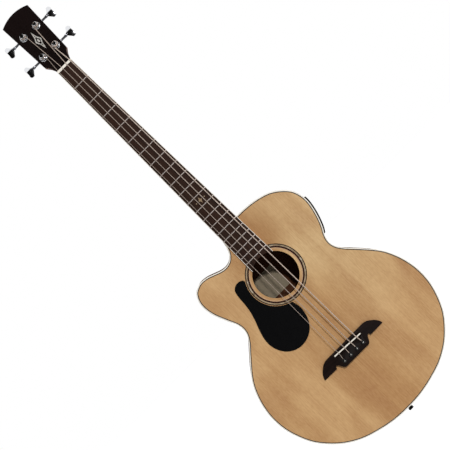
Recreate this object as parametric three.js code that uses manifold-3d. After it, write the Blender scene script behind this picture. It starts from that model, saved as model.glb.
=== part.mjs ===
// A left-handed acoustic bass guitar with a cutaway, in millimetres.
// +X is the viewer's right of the front, -Y is the front and +Z runs up the neck. The origin lies on the
// centreline at the nut's front edge, in the plane that the neck's top shares with the soundboard's face.
import * as THREE from 'three';
import { mergeVertices } from 'three/addons/utils/BufferGeometryUtils.js';
import Module from 'manifold-3d';

const wasm = await Module();
wasm.setup();

// Fits and cutting tools
const fitGap = 0.3;
const overrun = 12;

// Scale, frets and strings
const scaleLength = 863.6;
const bridgeCompensation = 11.2;
const fretCount = 20;
const semitones = 12;
const bodyFret = 15;
const fretHeight = 1.1;
const fretWidth = 2.4;
const fretLift = 0.5;
const nutStringSpread = 36;
const saddleStringSpread = 53;
const pinSpread = 57.4;
const spreadShares = [-0.5, -0.17, 0.17, 0.5];
const thinDiameter = 1.15;
const lightDiameter = 1.65;
const heavyDiameter = 2.15;
const thickDiameter = 2.65;
const windingTurns = 2;
const windingAir = 0.85;
const ballRadius = 2.5;
const ballLength = 4.5;
const stringBend = 3;

// Fingerboard, nut and neck
const nutWidth = 43;
const nutLength = 5.5;
const nutHeight = 10;
const boardEndWidth = 65;
const boardThickness = 7;
const boardCrownRadius = 400;
const neckDepthAtNut = 15.5;
const neckDepthAtBody = 18.5;
const neckFullness = 0.8;
const heelWidth = 58;
const heelDepth = 98;
const heelReach = 76;
const heelCapWidth = 25;
const heelCapReach = 19;
const tenonWidth = 20;
const tenonLength = 22;
const tenonTop = 3.5;
const tenonDepth = 70;
const rodRadius = 2.7;
const rodAxisDepth = 9;
const rodHeadRoom = 8;
const rodNutRadius = 4.6;
const rodNutLength = 11;

// Headstock, tilted back, and its overlay
const headTilt = 14;
const headLength = 172.5;
const headCrown = 9.6;
const headEndWidth = 78.4;
const headRootWidth = 67.6;
const headFlare = 27;
const headThickness = 15.7;
const headSink = 9;
const overlayThickness = 1.2;

// Tuners
const lowerPostReach = 47;
const upperPostReach = 112.7;
const postOffset = 19.7;
const drumRadius = 4.4;
const drumFoot = 5;
const flangeRadius = 5.6;
const flangeHeight = 1;
const postShaftRadius = 3.2;
const postCapRadius = 5.2;
const postCapHeight = 2.6;
const slotWidth = 2.8;
const slotDepth = 3.2;
const bushingRadius = 5.2;
const bushingBore = 3.6;
const washerRadius = 8.85;
const washerHeight = 1.3;
const hexRadius = 7.4;
const hexHeight = 3.4;
const gearRadius = 4.8;
const gearWidth = 4.4;
const wormRadius = 2.4;
const wormLength = 10;
const housingWall = 1.6;
const housingRoom = 10.4;
const keyShaftDrop = 5.6;
const keyShaftRadius = 2;
const keyCollarRadius = 3.4;
const keyCollarLength = 2.4;
const keyStart = 49.5;
const keyLength = 21.5;
const keyHalfHeight = 15;
const keyThickness = 3.4;

// Sound box
const bodyLength = 569.5;
const lowerBoutWidth = 464;
const outlineShift = -1.6;
const soundboardThickness = 3.2;
const sideWall = 2.3;
const bindingDepth = 6;
const backThickness = 3;
const backDepth = 126.6;
const backRadius = 4500;
const backCrownFromTop = 447.5;
const backReach = 500;
const liningWidth = 7;
const liningDepth = 15;
const neckBlockWidth = 76;
const neckBlockLength = 60;
const endBlockWidth = 84;
const endBlockLength = 22;
const soundholeFromTop = 153.2;
const soundholeRadius = 52.5;
const rosetteInner = 57.5;
const rosetteOuter = 68.8;
const rosetteDepth = 1.2;

// Braces
const braceWidth = 8;
const braceHeight = 14;
const rodNotchMargin = 6;
const crossingFromHole = 85;
const crossAngle = 48;
const crossLength = 600;
const transverseFromHole = 72;
const toneBarFromHole = 330;
const toneBarLength = 250;
const backBraceHeight = 13;
const upperBackBraceFromTop = 205;
const lowerBackBraceFromTop = 395;
const bridgePlateLength = 150;
const bridgePlateHeight = 46;
const bridgePlateThickness = 2.5;

// Bridge, saddle and pins
const bridgeWidth = 180;
const bridgeLength = 41.7;
const bridgeTopFromSaddle = 9.4;
const bridgeHeight = 9.5;
const bridgeWingHeight = 4;
const saddleLength = 77;
const saddleThickness = 3;
const saddleSlant = 3.3;
const saddleSlotDepth = 6;
const saddleProud = 4;
const pinFromSaddle = 20.3;
const pinRadius = 2.75;
const pinTipRadius = 2.2;
const pinCollarRadius = 4.1;
const pinHeadRadius = 4.7;
const pinHeadHeight = 4.4;
const pinHeadShoulder = { out: 0.7, up: 0.85 };
const pickguardThickness = 1.4;
const pickguardMargin = 1.2;

// Preamp on the bass side, and what stands in its recess
const preampFromTop = 79;
const preampLength = 88;
const preampFront = 26;
const preampHeight = 50;
const preampProud = 3.2;
const preampFloor = 0.5;
const preampRim = 4;
const chassisDepth = 26;
const chassisMargin = 3;
const knobRadius = 5;
const knobHeight = 1.9;
const spindleRadius = 1.6;
const spindleLength = 5;
const buttonRadius = 3;
const buttonStem = 3;
const buttonTravel = 1.2;
const controlLift = 0.6;
const knobPlaceShares = { volume_knob: 0.2, bass_knob: 0.48, treble_knob: 0.76 };
const buttonPlaceShare = 0.48;
const knobRowShare = 0.34;
const buttonRowShare = 0.72;

// End pin with its jack socket, and the strap button on the heel
const endPinDepth = 60;
const endPinRadius = 6.35;
const endPinWaist = 4.9;
const endPinProud = 15;
const endPinFlange = 4;
const endPinTaper = 2.4;
const barrelRadius = 5.6;
const barrelLength = 40;
const jackBore = 3.3;
const jackBoreLength = 34;
const strapButtonRadius = 6.5;
const strapButtonWaist = 4;
const strapButtonHeight = 12;
const strapButtonFlange = 3;
const strapScrewRadius = 2;
const strapScrewLength = 16;

// How finely round things are divided
const outlineSteps = 84;
const holeSteps = 40;
const neckSteps = 12;
const latheSteps = 12;
const stringSides = 6;
const loopSteps = 24;
const bendSteps = 4;
const domeSpokes = 24;
const domeRings = 4;
const crownSteps = 3;

// Places that several pieces share
const fretPlace = (n) => -scaleLength * (1 - 2 ** (-n / semitones));
const bodyTop = fretPlace(bodyFret);
const tail = bodyTop - bodyLength;
const holeZ = bodyTop - soundholeFromTop;
const saddleZ = -scaleLength - bridgeCompensation;
const pinZ = saddleZ - pinFromSaddle;
const boardEnd = holeZ + Math.sqrt(soundholeRadius ** 2 - (boardEndWidth / 2) ** 2);
const saddleTop = bridgeHeight + saddleProud;
const nutSlot = boardThickness + fretHeight + fretLift;
const plateBack = soundboardThickness + bridgePlateThickness;
const boardWidthAt = (z) => nutWidth + (boardEndWidth - nutWidth) * (z / boardEnd);

// The four strings from the thinnest, on the viewer's left, to the thickest
const bassStrings = [
  { name: 'g', diameter: thinDiameter, side: -1, reach: lowerPostReach },
  { name: 'd', diameter: lightDiameter, side: -1, reach: upperPostReach },
  { name: 'a', diameter: heavyDiameter, side: 1, reach: upperPostReach },
  { name: 'e', diameter: thickDiameter, side: 1, reach: lowerPostReach },
];
bassStrings.forEach((string, i) => {
  string.radius = string.diameter / 2;
  string.nutX = nutStringSpread * spreadShares[i];
  string.saddleX = saddleStringSpread * spreadShares[i];
  string.pinX = pinSpread * spreadShares[i];
  string.pitch = string.diameter + windingAir;
});
const thickest = bassStrings[bassStrings.length - 1];
const drumTop = drumFoot + windingTurns * thickest.pitch + thickest.diameter + fitGap;

// Materials
const paint = (color, roughness, metalness = 0) =>
  new THREE.MeshStandardMaterial({ color, roughness, metalness });
const spruce = paint(0xc9a173, 0.35);
const braceSpruce = paint(0xd8bd92, 0.8);
const mahogany = paint(0x6b3a22, 0.35);
const rosewood = paint(0x2a1d17, 0.5);
const blackGloss = paint(0x171313, 0.15);
const ivory = paint(0xe9e2cd, 0.35);
const pearl = paint(0xb9c4bb, 0.25);
const chrome = paint(0xc9ccd0, 0.12, 1);
const steel = paint(0x8b8d90, 0.35, 1);
const stringBronze = paint(0xc2b6a3, 0.4, 0.9);
const blackPlastic = paint(0x141414, 0.45);

const part = new THREE.Group();
part.name = 'acoustic_bass_guitar';

// The headstock's own frame: x across, y along its face from the nut's back edge, z out of its face
const head = new THREE.Group();
head.position.z = nutLength;
head.rotation.x = Math.PI / 2 - THREE.MathUtils.degToRad(headTilt);
head.updateMatrixWorld(true);
part.add(head);

function addPiece(name, shape, material, group = part) {
  const geometry = shape.isBufferGeometry ? shape : geometryOf(shape);
  const mesh = new THREE.Mesh(geometry, material);
  mesh.name = name;
  group.add(mesh);
  return mesh;
}

// A closed geometry as a solid, with its faces turned outwards
function solidOf(geometry) {
  const bare = new THREE.BufferGeometry();
  bare.setAttribute('position', geometry.getAttribute('position'));
  if (geometry.index) bare.setIndex(geometry.index);
  const merged = mergeVertices(bare);
  const place = merged.attributes.position;
  const index = merged.index.array;
  const corners = [new THREE.Vector3(), new THREE.Vector3(), new THREE.Vector3()];
  const faces = [];
  let volume = 0;
  for (let i = 0; i < index.length; i += 3) {
    const [a, b, c] = [index[i], index[i + 1], index[i + 2]];
    if (a === b || b === c || c === a) continue;
    faces.push([a, b, c]);
    [a, b, c].forEach((vertex, k) => corners[k].fromBufferAttribute(place, vertex));
    volume += corners[0].dot(corners[1].cross(corners[2]));
  }
  const triVerts = new Uint32Array(faces.flatMap(([a, b, c]) => (volume < 0 ? [a, c, b] : [a, b, c])));
  const vertProperties = new Float32Array(place.array);
  return new wasm.Manifold(new wasm.Mesh({ numProp: 3, vertProperties, triVerts }));
}

function geometryOf(solid) {
  const { vertProperties, triVerts } = solid.getMesh();
  const geometry = new THREE.BufferGeometry();
  geometry.setAttribute('position', new THREE.BufferAttribute(vertProperties, 3));
  geometry.setIndex(new THREE.BufferAttribute(triVerts, 1));
  geometry.computeVertexNormals();
  return geometry;
}

const join = (solids) => solids.reduce((whole, next) => whole.add(next));
const cut = (solid, tools) => tools.reduce((rest, tool) => rest.subtract(tool), solid);

function box(x, y, z) {
  const [width, depth, height] = [x, y, z].map(([low, high]) => high - low);
  const geometry = new THREE.BoxGeometry(width, depth, height);
  geometry.translate(x[0] + width / 2, y[0] + depth / 2, z[0] + height / 2);
  return solidOf(geometry);
}

// The points of an outline, turned anticlockwise
function anticlockwise(points) {
  const flat = points.map(([x, y]) => new THREE.Vector2(x, y));
  return THREE.ShapeUtils.isClockWise(flat) ? flat.reverse() : flat;
}

// A flat outline of [x, z] points, with holes, made into a plate between two depths
function plate(points, [front, back], holes = []) {
  const shape = new THREE.Shape(anticlockwise(points));
  shape.holes = holes.map((hole) => new THREE.Path(hole.map(([x, z]) => new THREE.Vector2(x, z))));
  const geometry = new THREE.ExtrudeGeometry(shape, { depth: back - front, bevelEnabled: false });
  const flat = geometry.getAttribute('position');
  const placed = new THREE.BufferAttribute(new Float32Array(flat.array.length), 3);
  for (let i = 0; i < flat.count; i += 1) {
    placed.setXYZ(i, flat.getX(i), flat.getZ(i) > (back - front) / 2 ? back : front, flat.getY(i));
  }
  geometry.setAttribute('position', placed);
  return solidOf(geometry);
}

// An outline of [x, y] points in a group's own frame, made into a slab between two heights
function slab(points, [low, high]) {
  const shape = new THREE.Shape(anticlockwise(points));
  const geometry = new THREE.ExtrudeGeometry(shape, { depth: high - low, bevelEnabled: false });
  return solidOf(geometry.translate(0, 0, low));
}

// A turned solid about Y from [radius, y] points that start and end on the axis, or close on themselves
function turned(profile, steps = latheSteps) {
  return new THREE.LatheGeometry(profile.map(([r, y]) => new THREE.Vector2(r, y)), steps);
}

// A closed skin over rings that all have the same number of points
function loft(rings) {
  const count = rings[0].length;
  const place = rings.flat().flatMap((point) => point.toArray());
  const index = [];
  for (let r = 0; r + 1 < rings.length; r += 1) {
    for (let i = 0; i < count; i += 1) {
      const [a, b] = [r * count + i, r * count + ((i + 1) % count)];
      index.push(a, b, b + count, a, b + count, a + count);
    }
  }
  const last = (rings.length - 1) * count;
  for (let i = 1; i + 1 < count; i += 1) {
    index.push(0, i + 1, i, last, last + i, last + i + 1);
  }
  const geometry = new THREE.BufferGeometry();
  geometry.setAttribute('position', new THREE.Float32BufferAttribute(place, 3));
  geometry.setIndex(index);
  return solidOf(geometry);
}

// A tube along points, each with its radius, whose rings turn with the path without twisting
function tube(points, radii, sides = stringSides) {
  const aim = new THREE.Vector3();
  let across = null;
  const rings = points.map((point, i) => {
    const before = points[Math.max(i - 1, 0)];
    const after = points[Math.min(i + 1, points.length - 1)];
    aim.subVectors(after, before).normalize();
    if (!across) across = Math.abs(aim.x) < 1 / 2 ? new THREE.Vector3(1, 0, 0) : new THREE.Vector3(0, 0, 1);
    across = across.clone().addScaledVector(aim, -across.dot(aim)).normalize();
    const up = new THREE.Vector3().crossVectors(aim, across);
    const radius = Array.isArray(radii) ? radii[i] : radii;
    return Array.from({ length: sides }, (_, k) => {
      const angle = (2 * Math.PI * k) / sides;
      return point.clone()
        .addScaledVector(across, radius * Math.cos(angle))
        .addScaledVector(up, radius * Math.sin(angle));
    });
  });
  return loft(rings);
}

function circle(radius, centreX, centreZ, steps) {
  return Array.from({ length: steps }, (_, i) => {
    const angle = (2 * Math.PI * i) / steps;
    return [centreX + radius * Math.cos(angle), centreZ + radius * Math.sin(angle)];
  });
}

// The body's outline. Shares of half the lower bout's width and of the body's length, from its top
const lowerBoutShares = [
  [0.586, 0.3255], [0.5975, 0.352], [0.638, 0.379], [0.728, 0.42], [0.84, 0.4725], [0.9, 0.508],
  [0.958, 0.562], [0.99, 0.615], [1, 0.66], [0.987, 0.722], [0.932, 0.793], [0.859, 0.847],
  [0.704, 0.914], [0.529, 0.958], [0.355, 0.9815], [0.18, 0.996],
];
const shoulderShares = [
  [0.231, 0.001], [0.371, 0.008], [0.511, 0.025], [0.582, 0.0425], [0.653, 0.069], [0.689, 0.09],
  [0.715, 0.122], [0.721, 0.154], [0.711, 0.184], [0.694, 0.2125], [0.6715, 0.2405], [0.642, 0.269],
  [0.604, 0.297],
];
const cutawayShares = [
  [0.598, 0.298], [0.627, 0.2706], [0.657, 0.242], [0.684, 0.2137], [0.7013, 0.185], [0.7065, 0.1607],
  [0.703, 0.1413], [0.693, 0.1266], [0.676, 0.1119], [0.645, 0.0968], [0.58, 0.085], [0.5465, 0.0829],
  [0.477, 0.0867], [0.407, 0.0968], [0.338, 0.1071], [0.286, 0.1104], [0.2345, 0.1066], [0.2, 0.098],
  [0.171, 0.085], [0.141, 0.057], [0.126, 0.029],
];

function bodyOutline() {
  const half = lowerBoutWidth / 2;
  const onRight = ([across, down]) => (
    new THREE.Vector3(outlineShift + half * across, 0, bodyTop - bodyLength * down)
  );
  const onLeft = ([across, down]) => onRight([-across, down]);
  const through = [
    new THREE.Vector3(heelWidth / 2, 0, bodyTop),
    ...shoulderShares.map(onRight),
    ...lowerBoutShares.map(onRight),
    new THREE.Vector3(outlineShift, 0, tail),
    ...[...lowerBoutShares].reverse().map(onLeft),
    ...cutawayShares.map(onLeft),
    new THREE.Vector3(-heelWidth / 2, 0, bodyTop),
  ];
  const curve = new THREE.CatmullRomCurve3(through, false, 'centripetal');
  return curve.getSpacedPoints(outlineSteps).map(({ x, z }) => [x, z]);
}

// An outline moved inwards by a distance, each corner along its bisector. It runs clockwise from the front
function inset(points, distance) {
  const count = points.length;
  return points.map(([x, z], i) => {
    const [beforeX, beforeZ] = points[(i + count - 1) % count];
    const [afterX, afterZ] = points[(i + 1) % count];
    const came = new THREE.Vector2(x - beforeX, z - beforeZ).normalize();
    const goes = new THREE.Vector2(afterX - x, afterZ - z).normalize();
    const inward = new THREE.Vector2(came.y + goes.y, -came.x - goes.x).normalize();
    const reach = distance / inward.dot(new THREE.Vector2(goes.y, -goes.x));
    return [x + inward.x * reach, z + inward.y * reach];
  });
}

const outline = bodyOutline();
const innerWall = inset(outline, sideWall);
const gluedWall = inset(outline, sideWall + fitGap);
const insideLinings = inset(outline, sideWall + liningWidth);

// The arched back is a shallow bowl. This holds all that lies in front of it, moved forwards by a shift
function beforeBack(shift) {
  const rim = Array.from({ length: domeRings + 1 }, (_, i) => {
    const radius = (backReach * (domeRings - i)) / domeRings;
    return [radius, backDepth - shift - radius ** 2 / (2 * backRadius)];
  });
  const bowl = turned([[0, -overrun], [backReach, -overrun], ...rim], domeSpokes);
  return solidOf(bowl.translate(0, 0, bodyTop - backCrownFromTop));
}

const throughBody = [-overrun, backDepth + overrun];
const halfSpace = (sign) => box(
  sign > 0 ? [0, lowerBoutWidth] : [-lowerBoutWidth, 0],
  throughBody,
  [tail - overrun, bodyTop + overrun],
);
const underBack = beforeBack(backThickness + fitGap);
const bassHalf = halfSpace(1);
const trebleHalf = halfSpace(-1);

const tenonRoom = box(
  [-tenonWidth / 2 - fitGap, tenonWidth / 2 + fitGap],
  [-overrun, tenonDepth + fitGap],
  [bodyTop - tenonLength - fitGap, bodyTop + overrun],
);

// The strings' routes. Each runs from its ball end over the saddle and the nut to its post
const slant = Math.tan(THREE.MathUtils.degToRad(saddleSlant));
const saddleZAt = (x) => saddleZ - slant * x;
const stringHoleZ = (string) => pinZ + pinRadius + fitGap + string.radius;

function saddlePoint(string) {
  return new THREE.Vector3(string.saddleX, -saddleTop - string.radius, saddleZAt(string.saddleX));
}

function nutPoint(string) {
  return new THREE.Vector3(string.nutX, -nutSlot - string.radius, nutLength / 2);
}

// Points round a bend at a corner between two neighbours
function bend(before, corner, after, reach) {
  const start = corner.clone().addScaledVector(before.clone().sub(corner).normalize(), reach);
  const end = corner.clone().addScaledVector(after.clone().sub(corner).normalize(), reach);
  return new THREE.QuadraticBezierCurve3(start, corner, end).getPoints(bendSteps);
}

// The winding climbs its post from the tangent point, and its end runs straight for one diameter
function winding(string) {
  const postX = string.side * postOffset;
  const radius = drumRadius + fitGap + string.radius;
  const from = head.worldToLocal(nutPoint(string));
  const reach = new THREE.Vector2(from.x - postX, from.y - string.reach);
  const base = reach.angle();
  const opening = Math.acos(radius / reach.length());
  const turn = string.side < 0 ? 1 : -1;
  const start = base + turn * opening;
  const foot = drumFoot + string.radius + fitGap;
  const points = [];
  for (let i = 0; i <= windingTurns * loopSteps; i += 1) {
    const angle = start + (turn * 2 * Math.PI * i) / loopSteps;
    points.push(new THREE.Vector3(
      postX + radius * Math.cos(angle),
      string.reach + radius * Math.sin(angle),
      foot + (string.pitch * i) / loopSteps,
    ));
  }
  const end = points[points.length - 1];
  const along = new THREE.Vector3(-Math.sin(start), Math.cos(start), 0).multiplyScalar(turn);
  points.push(end.clone().addScaledVector(along, string.diameter));
  return points;
}

function stringRoute(string) {
  const throughZ = stringHoleZ(string);
  const ball = new THREE.Vector3(string.pinX, plateBack + fitGap + ballLength, throughZ);
  const ballTop = new THREE.Vector3(string.pinX, plateBack + fitGap, throughZ);
  const mouth = new THREE.Vector3(string.pinX, -bridgeHeight - string.radius - fitGap, throughZ);
  const loops = winding(string).map((point) => head.localToWorld(point));
  const [saddle, nutTop] = [saddlePoint(string), nutPoint(string)];
  const points = [
    ball,
    ballTop,
    ballTop.clone().setY(ballTop.y - fitGap),
    ...bend(ballTop, mouth, saddle, stringBend),
    ...bend(mouth, saddle, nutTop, string.diameter),
    ...bend(saddle, nutTop, loops[0], string.diameter),
    ...loops,
  ];
  const radii = points.map((_, i) => (i < 2 ? ballRadius : string.radius));
  return { points, radii, loops, thread: points.slice(1) };
}

// The least gap between the turns of a winding, and between them and the run that feeds it
function leastGap(string, { points, loops }) {
  const feed = points[points.length - loops.length - 1];
  const line = new THREE.LineCurve3(feed, loops[0]).getPoints(outlineSteps);
  const path = [...line, ...loops.slice(1)];
  const curve = new THREE.CurvePath();
  path.slice(1).forEach((point, i) => curve.add(new THREE.LineCurve3(path[i], point)));
  const dense = curve.getSpacedPoints(outlineSteps * loopSteps);
  const step = curve.getLength() / dense.length;
  const apart = Math.ceil((Math.PI * drumRadius) / step);
  let least = Infinity;
  dense.forEach((point, i) => {
    for (let k = i + apart; k < dense.length; k += 1) least = Math.min(least, point.distanceTo(dense[k]));
  });
  return least - string.diameter;
}

const routes = new Map(bassStrings.map((string) => [string, stringRoute(string)]));
routes.forEach((route, string) => {
  console.log(`string_${string.name}: least gap in its winding ${leastGap(string, route).toFixed(2)} mm`);
});

// Room for a string where it passes through wood, ivory or bone
const stringRoom = (string) => tube(routes.get(string).thread, string.radius + fitGap);
const stringRooms = bassStrings.map(stringRoom);
const pinProfile = (gap) => [
  [0, -bridgeHeight - overrun * Math.sign(gap)],
  [pinRadius + gap, -bridgeHeight - overrun * Math.sign(gap)],
  [pinRadius + gap, -bridgeHeight],
  [pinTipRadius + gap, plateBack + overrun * Math.sign(gap)],
  [0, plateBack + overrun * Math.sign(gap)],
];
const pinRoom = (string) => solidOf(turned(pinProfile(fitGap)).translate(string.pinX, 0, pinZ));
const pinRooms = bassStrings.map(pinRoom);

// Sound box
const soundholeRing = circle(soundholeRadius, 0, holeZ, holeSteps);
const rosetteRing = plate(
  circle(rosetteOuter, 0, holeZ, holeSteps),
  [0, rosetteDepth],
  [circle(rosetteInner, 0, holeZ, holeSteps)],
);
const soundboard = cut(
  plate(innerWall, [0, soundboardThickness], [soundholeRing]),
  [rosetteRing, ...pinRooms, ...stringRooms],
);
addPiece('soundboard', soundboard, spruce);
addPiece('rosette', rosetteRing, pearl);

const backPlate = plate(gluedWall, throughBody)
  .intersect(beforeBack(0))
  .subtract(beforeBack(backThickness));
addPiece('back_plate', backPlate, mahogany);

const topBinding = plate(outline, [0, bindingDepth], [innerWall]).subtract(tenonRoom);
addPiece('top_binding', topBinding, ivory);
const backBinding = plate(outline, throughBody, [innerWall])
  .intersect(beforeBack(0))
  .subtract(beforeBack(bindingDepth));
addPiece('back_binding', backBinding, ivory);

// The stretch of the bass side between two heights, moved outwards by a distance
function rimStretch(highZ, lowZ, distance) {
  const moved = inset(outline, -distance).filter(([x]) => x > 0);
  const ends = [highZ, lowZ].map((z) => {
    const i = moved.findIndex(([x, at], k) => x > heelWidth && k > 0 && at <= z && moved[k - 1][1] > z);
    const [[fromX, fromZ], [toX, toZ]] = [moved[i - 1], moved[i]];
    return { point: [fromX + ((toX - fromX) * (fromZ - z)) / (fromZ - toZ), z], i };
  });
  return [ends[0].point, ...moved.slice(ends[0].i, ends[1].i), ends[1].point];
}

const preampTop = bodyTop - preampFromTop;
const preampBottom = preampTop - preampLength;

// A block that follows the bass side between two distances from it, a margin inside the preamp's frame
function rimBlock(outer, inner, margin, depths) {
  const [high, low] = [preampTop - margin, preampBottom + margin];
  return plate([...rimStretch(high, low, outer), ...rimStretch(high, low, inner).reverse()], depths);
}

const preampBack = preampFront + preampHeight;
const recessed = (margin) => [preampFront + margin, preampBack - margin];
const roomMargin = chassisMargin - fitGap;
const chassisRoom = rimBlock(overrun, -sideWall - overrun, roomMargin, recessed(roomMargin));

const endPinRoom = solidOf(
  turned([[0, -overrun], [barrelRadius + fitGap, -overrun], [barrelRadius + fitGap, barrelLength + overrun],
    [0, barrelLength + overrun]]).rotateX(Math.PI / 2).translate(0, endPinDepth, tail),
);

const rim = plate(outline, [bindingDepth, backDepth + overrun], [innerWall])
  .intersect(beforeBack(bindingDepth + fitGap));
addPiece('side_bass', cut(rim.intersect(bassHalf), [tenonRoom, chassisRoom, endPinRoom]), mahogany);
addPiece('side_treble', cut(rim.intersect(trebleHalf), [tenonRoom, endPinRoom]), mahogany);

const rodRoomRadius = rodNutRadius + 2 * fitGap;
const rodRoomProfile = [
  [0, -overrun], [rodRoomRadius, -overrun], [rodRoomRadius, neckBlockLength], [0, neckBlockLength],
];
const rodRoom = solidOf(
  turned(rodRoomProfile).rotateX(Math.PI / 2).translate(0, rodAxisDepth, bodyTop - neckBlockLength),
);
const insideWall = plate(gluedWall, [soundboardThickness, backDepth + overrun]).intersect(underBack);
const blockBox = (width, low, high) => box([-width / 2, width / 2], throughBody, [low, high]);
const neckBlock = cut(
  insideWall.intersect(blockBox(neckBlockWidth, bodyTop - neckBlockLength, bodyTop)),
  [tenonRoom, rodRoom],
);
addPiece('neck_block', neckBlock, mahogany);
const endBlock = insideWall
  .intersect(blockBox(endBlockWidth, tail, tail + endBlockLength))
  .subtract(endPinRoom);
addPiece('end_block', endBlock, mahogany);

const blocksRoom = [
  blockBox(neckBlockWidth + 2 * fitGap, bodyTop - neckBlockLength - fitGap, bodyTop + overrun),
  blockBox(endBlockWidth + 2 * fitGap, tail - overrun, tail + endBlockLength + fitGap),
];
const topLining = cut(
  plate(gluedWall, [soundboardThickness, soundboardThickness + liningDepth], [insideLinings]),
  blocksRoom,
);
const backLining = cut(
  plate(gluedWall, throughBody, [insideLinings]).intersect(underBack),
  [beforeBack(backThickness + fitGap + liningDepth), ...blocksRoom],
);
[['bass', bassHalf], ['treble', trebleHalf]].forEach(([half, space]) => {
  addPiece(`top_lining_${half}`, topLining.intersect(space), braceSpruce);
  addPiece(`back_lining_${half}`, backLining.intersect(space), braceSpruce);
});

// Braces, trimmed to the room inside the linings. Each lies along a direction from a centre
const bracingRoom = plate(inset(outline, sideWall + liningWidth + fitGap), throughBody);
const braceBack = soundboardThickness + braceHeight;

function brace(length, [front, back], centreZ, angle, width = braceWidth) {
  const corners = [[-1, -1], [1, -1], [1, 1], [-1, 1]].map(([along, across]) => {
    const [x, z] = [(along * length) / 2, (across * width) / 2];
    return [x * Math.cos(angle) - z * Math.sin(angle), centreZ + x * Math.sin(angle) + z * Math.cos(angle)];
  });
  return plate(corners, [front, back]);
}

const crossingZ = holeZ - crossingFromHole;
const transverseZ = holeZ + transverseFromHole;
const rise = Math.PI / 2 - THREE.MathUtils.degToRad(crossAngle);
const lapDepth = soundboardThickness + braceHeight / 2;
const laps = {
  under: brace(crossLength, [lapDepth, braceBack + overrun], crossingZ, -rise, braceWidth + 2 * fitGap),
  over: brace(crossLength, [0, lapDepth + fitGap], crossingZ, rise, braceWidth + 2 * fitGap),
};
const belowTransverse = box(
  [-lowerBoutWidth, lowerBoutWidth],
  throughBody,
  [tail, transverseZ - braceWidth / 2 - fitGap],
);
const crossBrace = (angle, lap) => brace(crossLength, [soundboardThickness, braceBack], crossingZ, angle)
  .subtract(lap)
  .intersect(bracingRoom)
  .intersect(belowTransverse);
addPiece('cross_brace_bass', crossBrace(rise, laps.under), braceSpruce);
addPiece('cross_brace_treble', crossBrace(-rise, laps.over), braceSpruce);

const topBraceDepths = [soundboardThickness, braceBack];
const rodNotch = box(
  [-rodNutRadius - rodNotchMargin, rodNutRadius + rodNotchMargin],
  [0, rodAxisDepth + rodNutRadius + fitGap],
  [transverseZ - braceWidth, transverseZ + braceWidth],
);
const transverse = brace(lowerBoutWidth, topBraceDepths, transverseZ, 0)
  .intersect(bracingRoom)
  .subtract(rodNotch);
addPiece('transverse_brace', transverse, braceSpruce);
addPiece('tone_bar', brace(toneBarLength, topBraceDepths, holeZ - toneBarFromHole, 0), braceSpruce);
const bridgePlate = brace(
  bridgePlateLength, [soundboardThickness, plateBack], pinZ, 0, bridgePlateHeight,
);
addPiece('bridge_plate', cut(bridgePlate, [...pinRooms, ...stringRooms]), mahogany);

const backBrace = (fromTop) => brace(lowerBoutWidth, throughBody, bodyTop - fromTop, 0)
  .intersect(bracingRoom)
  .intersect(underBack)
  .subtract(beforeBack(backThickness + fitGap + backBraceHeight));
addPiece('back_brace_upper', backBrace(upperBackBraceFromTop), braceSpruce);
addPiece('back_brace_lower', backBrace(lowerBackBraceFromTop), braceSpruce);

// Pickguard. Shares of its inner radius from the soundhole's centre, then back along the rosette
const guardRadius = rosetteOuter + pickguardMargin;
const guardShares = [
  [-0.864, 0.607], [-0.957, 0.661], [-1.07, 0.674], [-1.2, 0.634], [-1.287, 0.549], [-1.342, 0.3],
  [-1.363, 0.043], [-1.414, -0.27], [-1.513, -0.585], [-1.634, -0.9], [-1.717, -1.214], [-1.72, -1.485],
  [-1.634, -1.756], [-1.478, -1.97], [-1.256, -2.113], [-1, -2.163], [-0.714, -2.113], [-0.471, -1.963],
  [-0.293, -1.727], [-0.207, -1.44], [-0.2, -1.2], [-0.24, -0.971],
];

function pickguardOutline() {
  const through = guardShares.map(([x, z]) => (
    new THREE.Vector3(guardRadius * x, 0, holeZ + guardRadius * z)
  ));
  const free = new THREE.CatmullRomCurve3(through, false, 'centripetal').getSpacedPoints(holeSteps);
  const [first, last] = [free[0], free[free.length - 1]];
  const fromAngle = Math.atan2(last.z - holeZ, last.x) + 2 * Math.PI;
  const toAngle = Math.atan2(first.z - holeZ, first.x);
  const hug = Array.from({ length: latheSteps - 1 }, (_, i) => {
    const angle = fromAngle + ((toAngle - fromAngle) * (i + 1)) / latheSteps;
    return [guardRadius * Math.cos(angle), holeZ + guardRadius * Math.sin(angle)];
  });
  return [...free.map(({ x, z }) => [x, z]), ...hug];
}
addPiece('pickguard', plate(pickguardOutline(), [-pickguardThickness, 0]), blackPlastic);

// Bridge. Shares of half its width and of its length from its top edge
const bridgeShares = [
  [0, 0], [0.633, 0], [0.744, 0.065], [0.844, 0.209], [0.933, 0.4], [0.983, 0.58], [1, 0.727],
  [0.594, 0.727], [0.572, 0.604], [0.544, 0.592], [0.511, 0.664], [0.431, 0.952], [0.4, 1], [0, 1],
];
const wingShares = [[0, 1], [0.42, 1], [0.62, 0.62], [1, 0]];

function bridgeSolid() {
  const topZ = saddleZ + bridgeTopFromSaddle;
  const right = bridgeShares.map(([x, z]) => [(x * bridgeWidth) / 2, topZ - z * bridgeLength]);
  const left = right.slice(1, -1).reverse().map(([x, z]) => [-x, z]);
  const body = plate([...right, ...left], [-bridgeHeight, 0]);
  const half = wingShares.map(([x, share]) => [
    (x * bridgeWidth) / 2, bridgeWingHeight + (bridgeHeight - bridgeWingHeight) * share,
  ]);
  const crest = [...half.slice(1).reverse().map(([x, h]) => [-x, h]), ...half];
  const profile = [...crest, [bridgeWidth / 2, -overrun], [-bridgeWidth / 2, -overrun]];
  const depth = [topZ - bridgeLength - overrun, topZ + overrun];
  const ends = depth.map((z) => profile.map(([x, h]) => new THREE.Vector3(x, -h, z)));
  return body.intersect(loft(ends));
}

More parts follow.
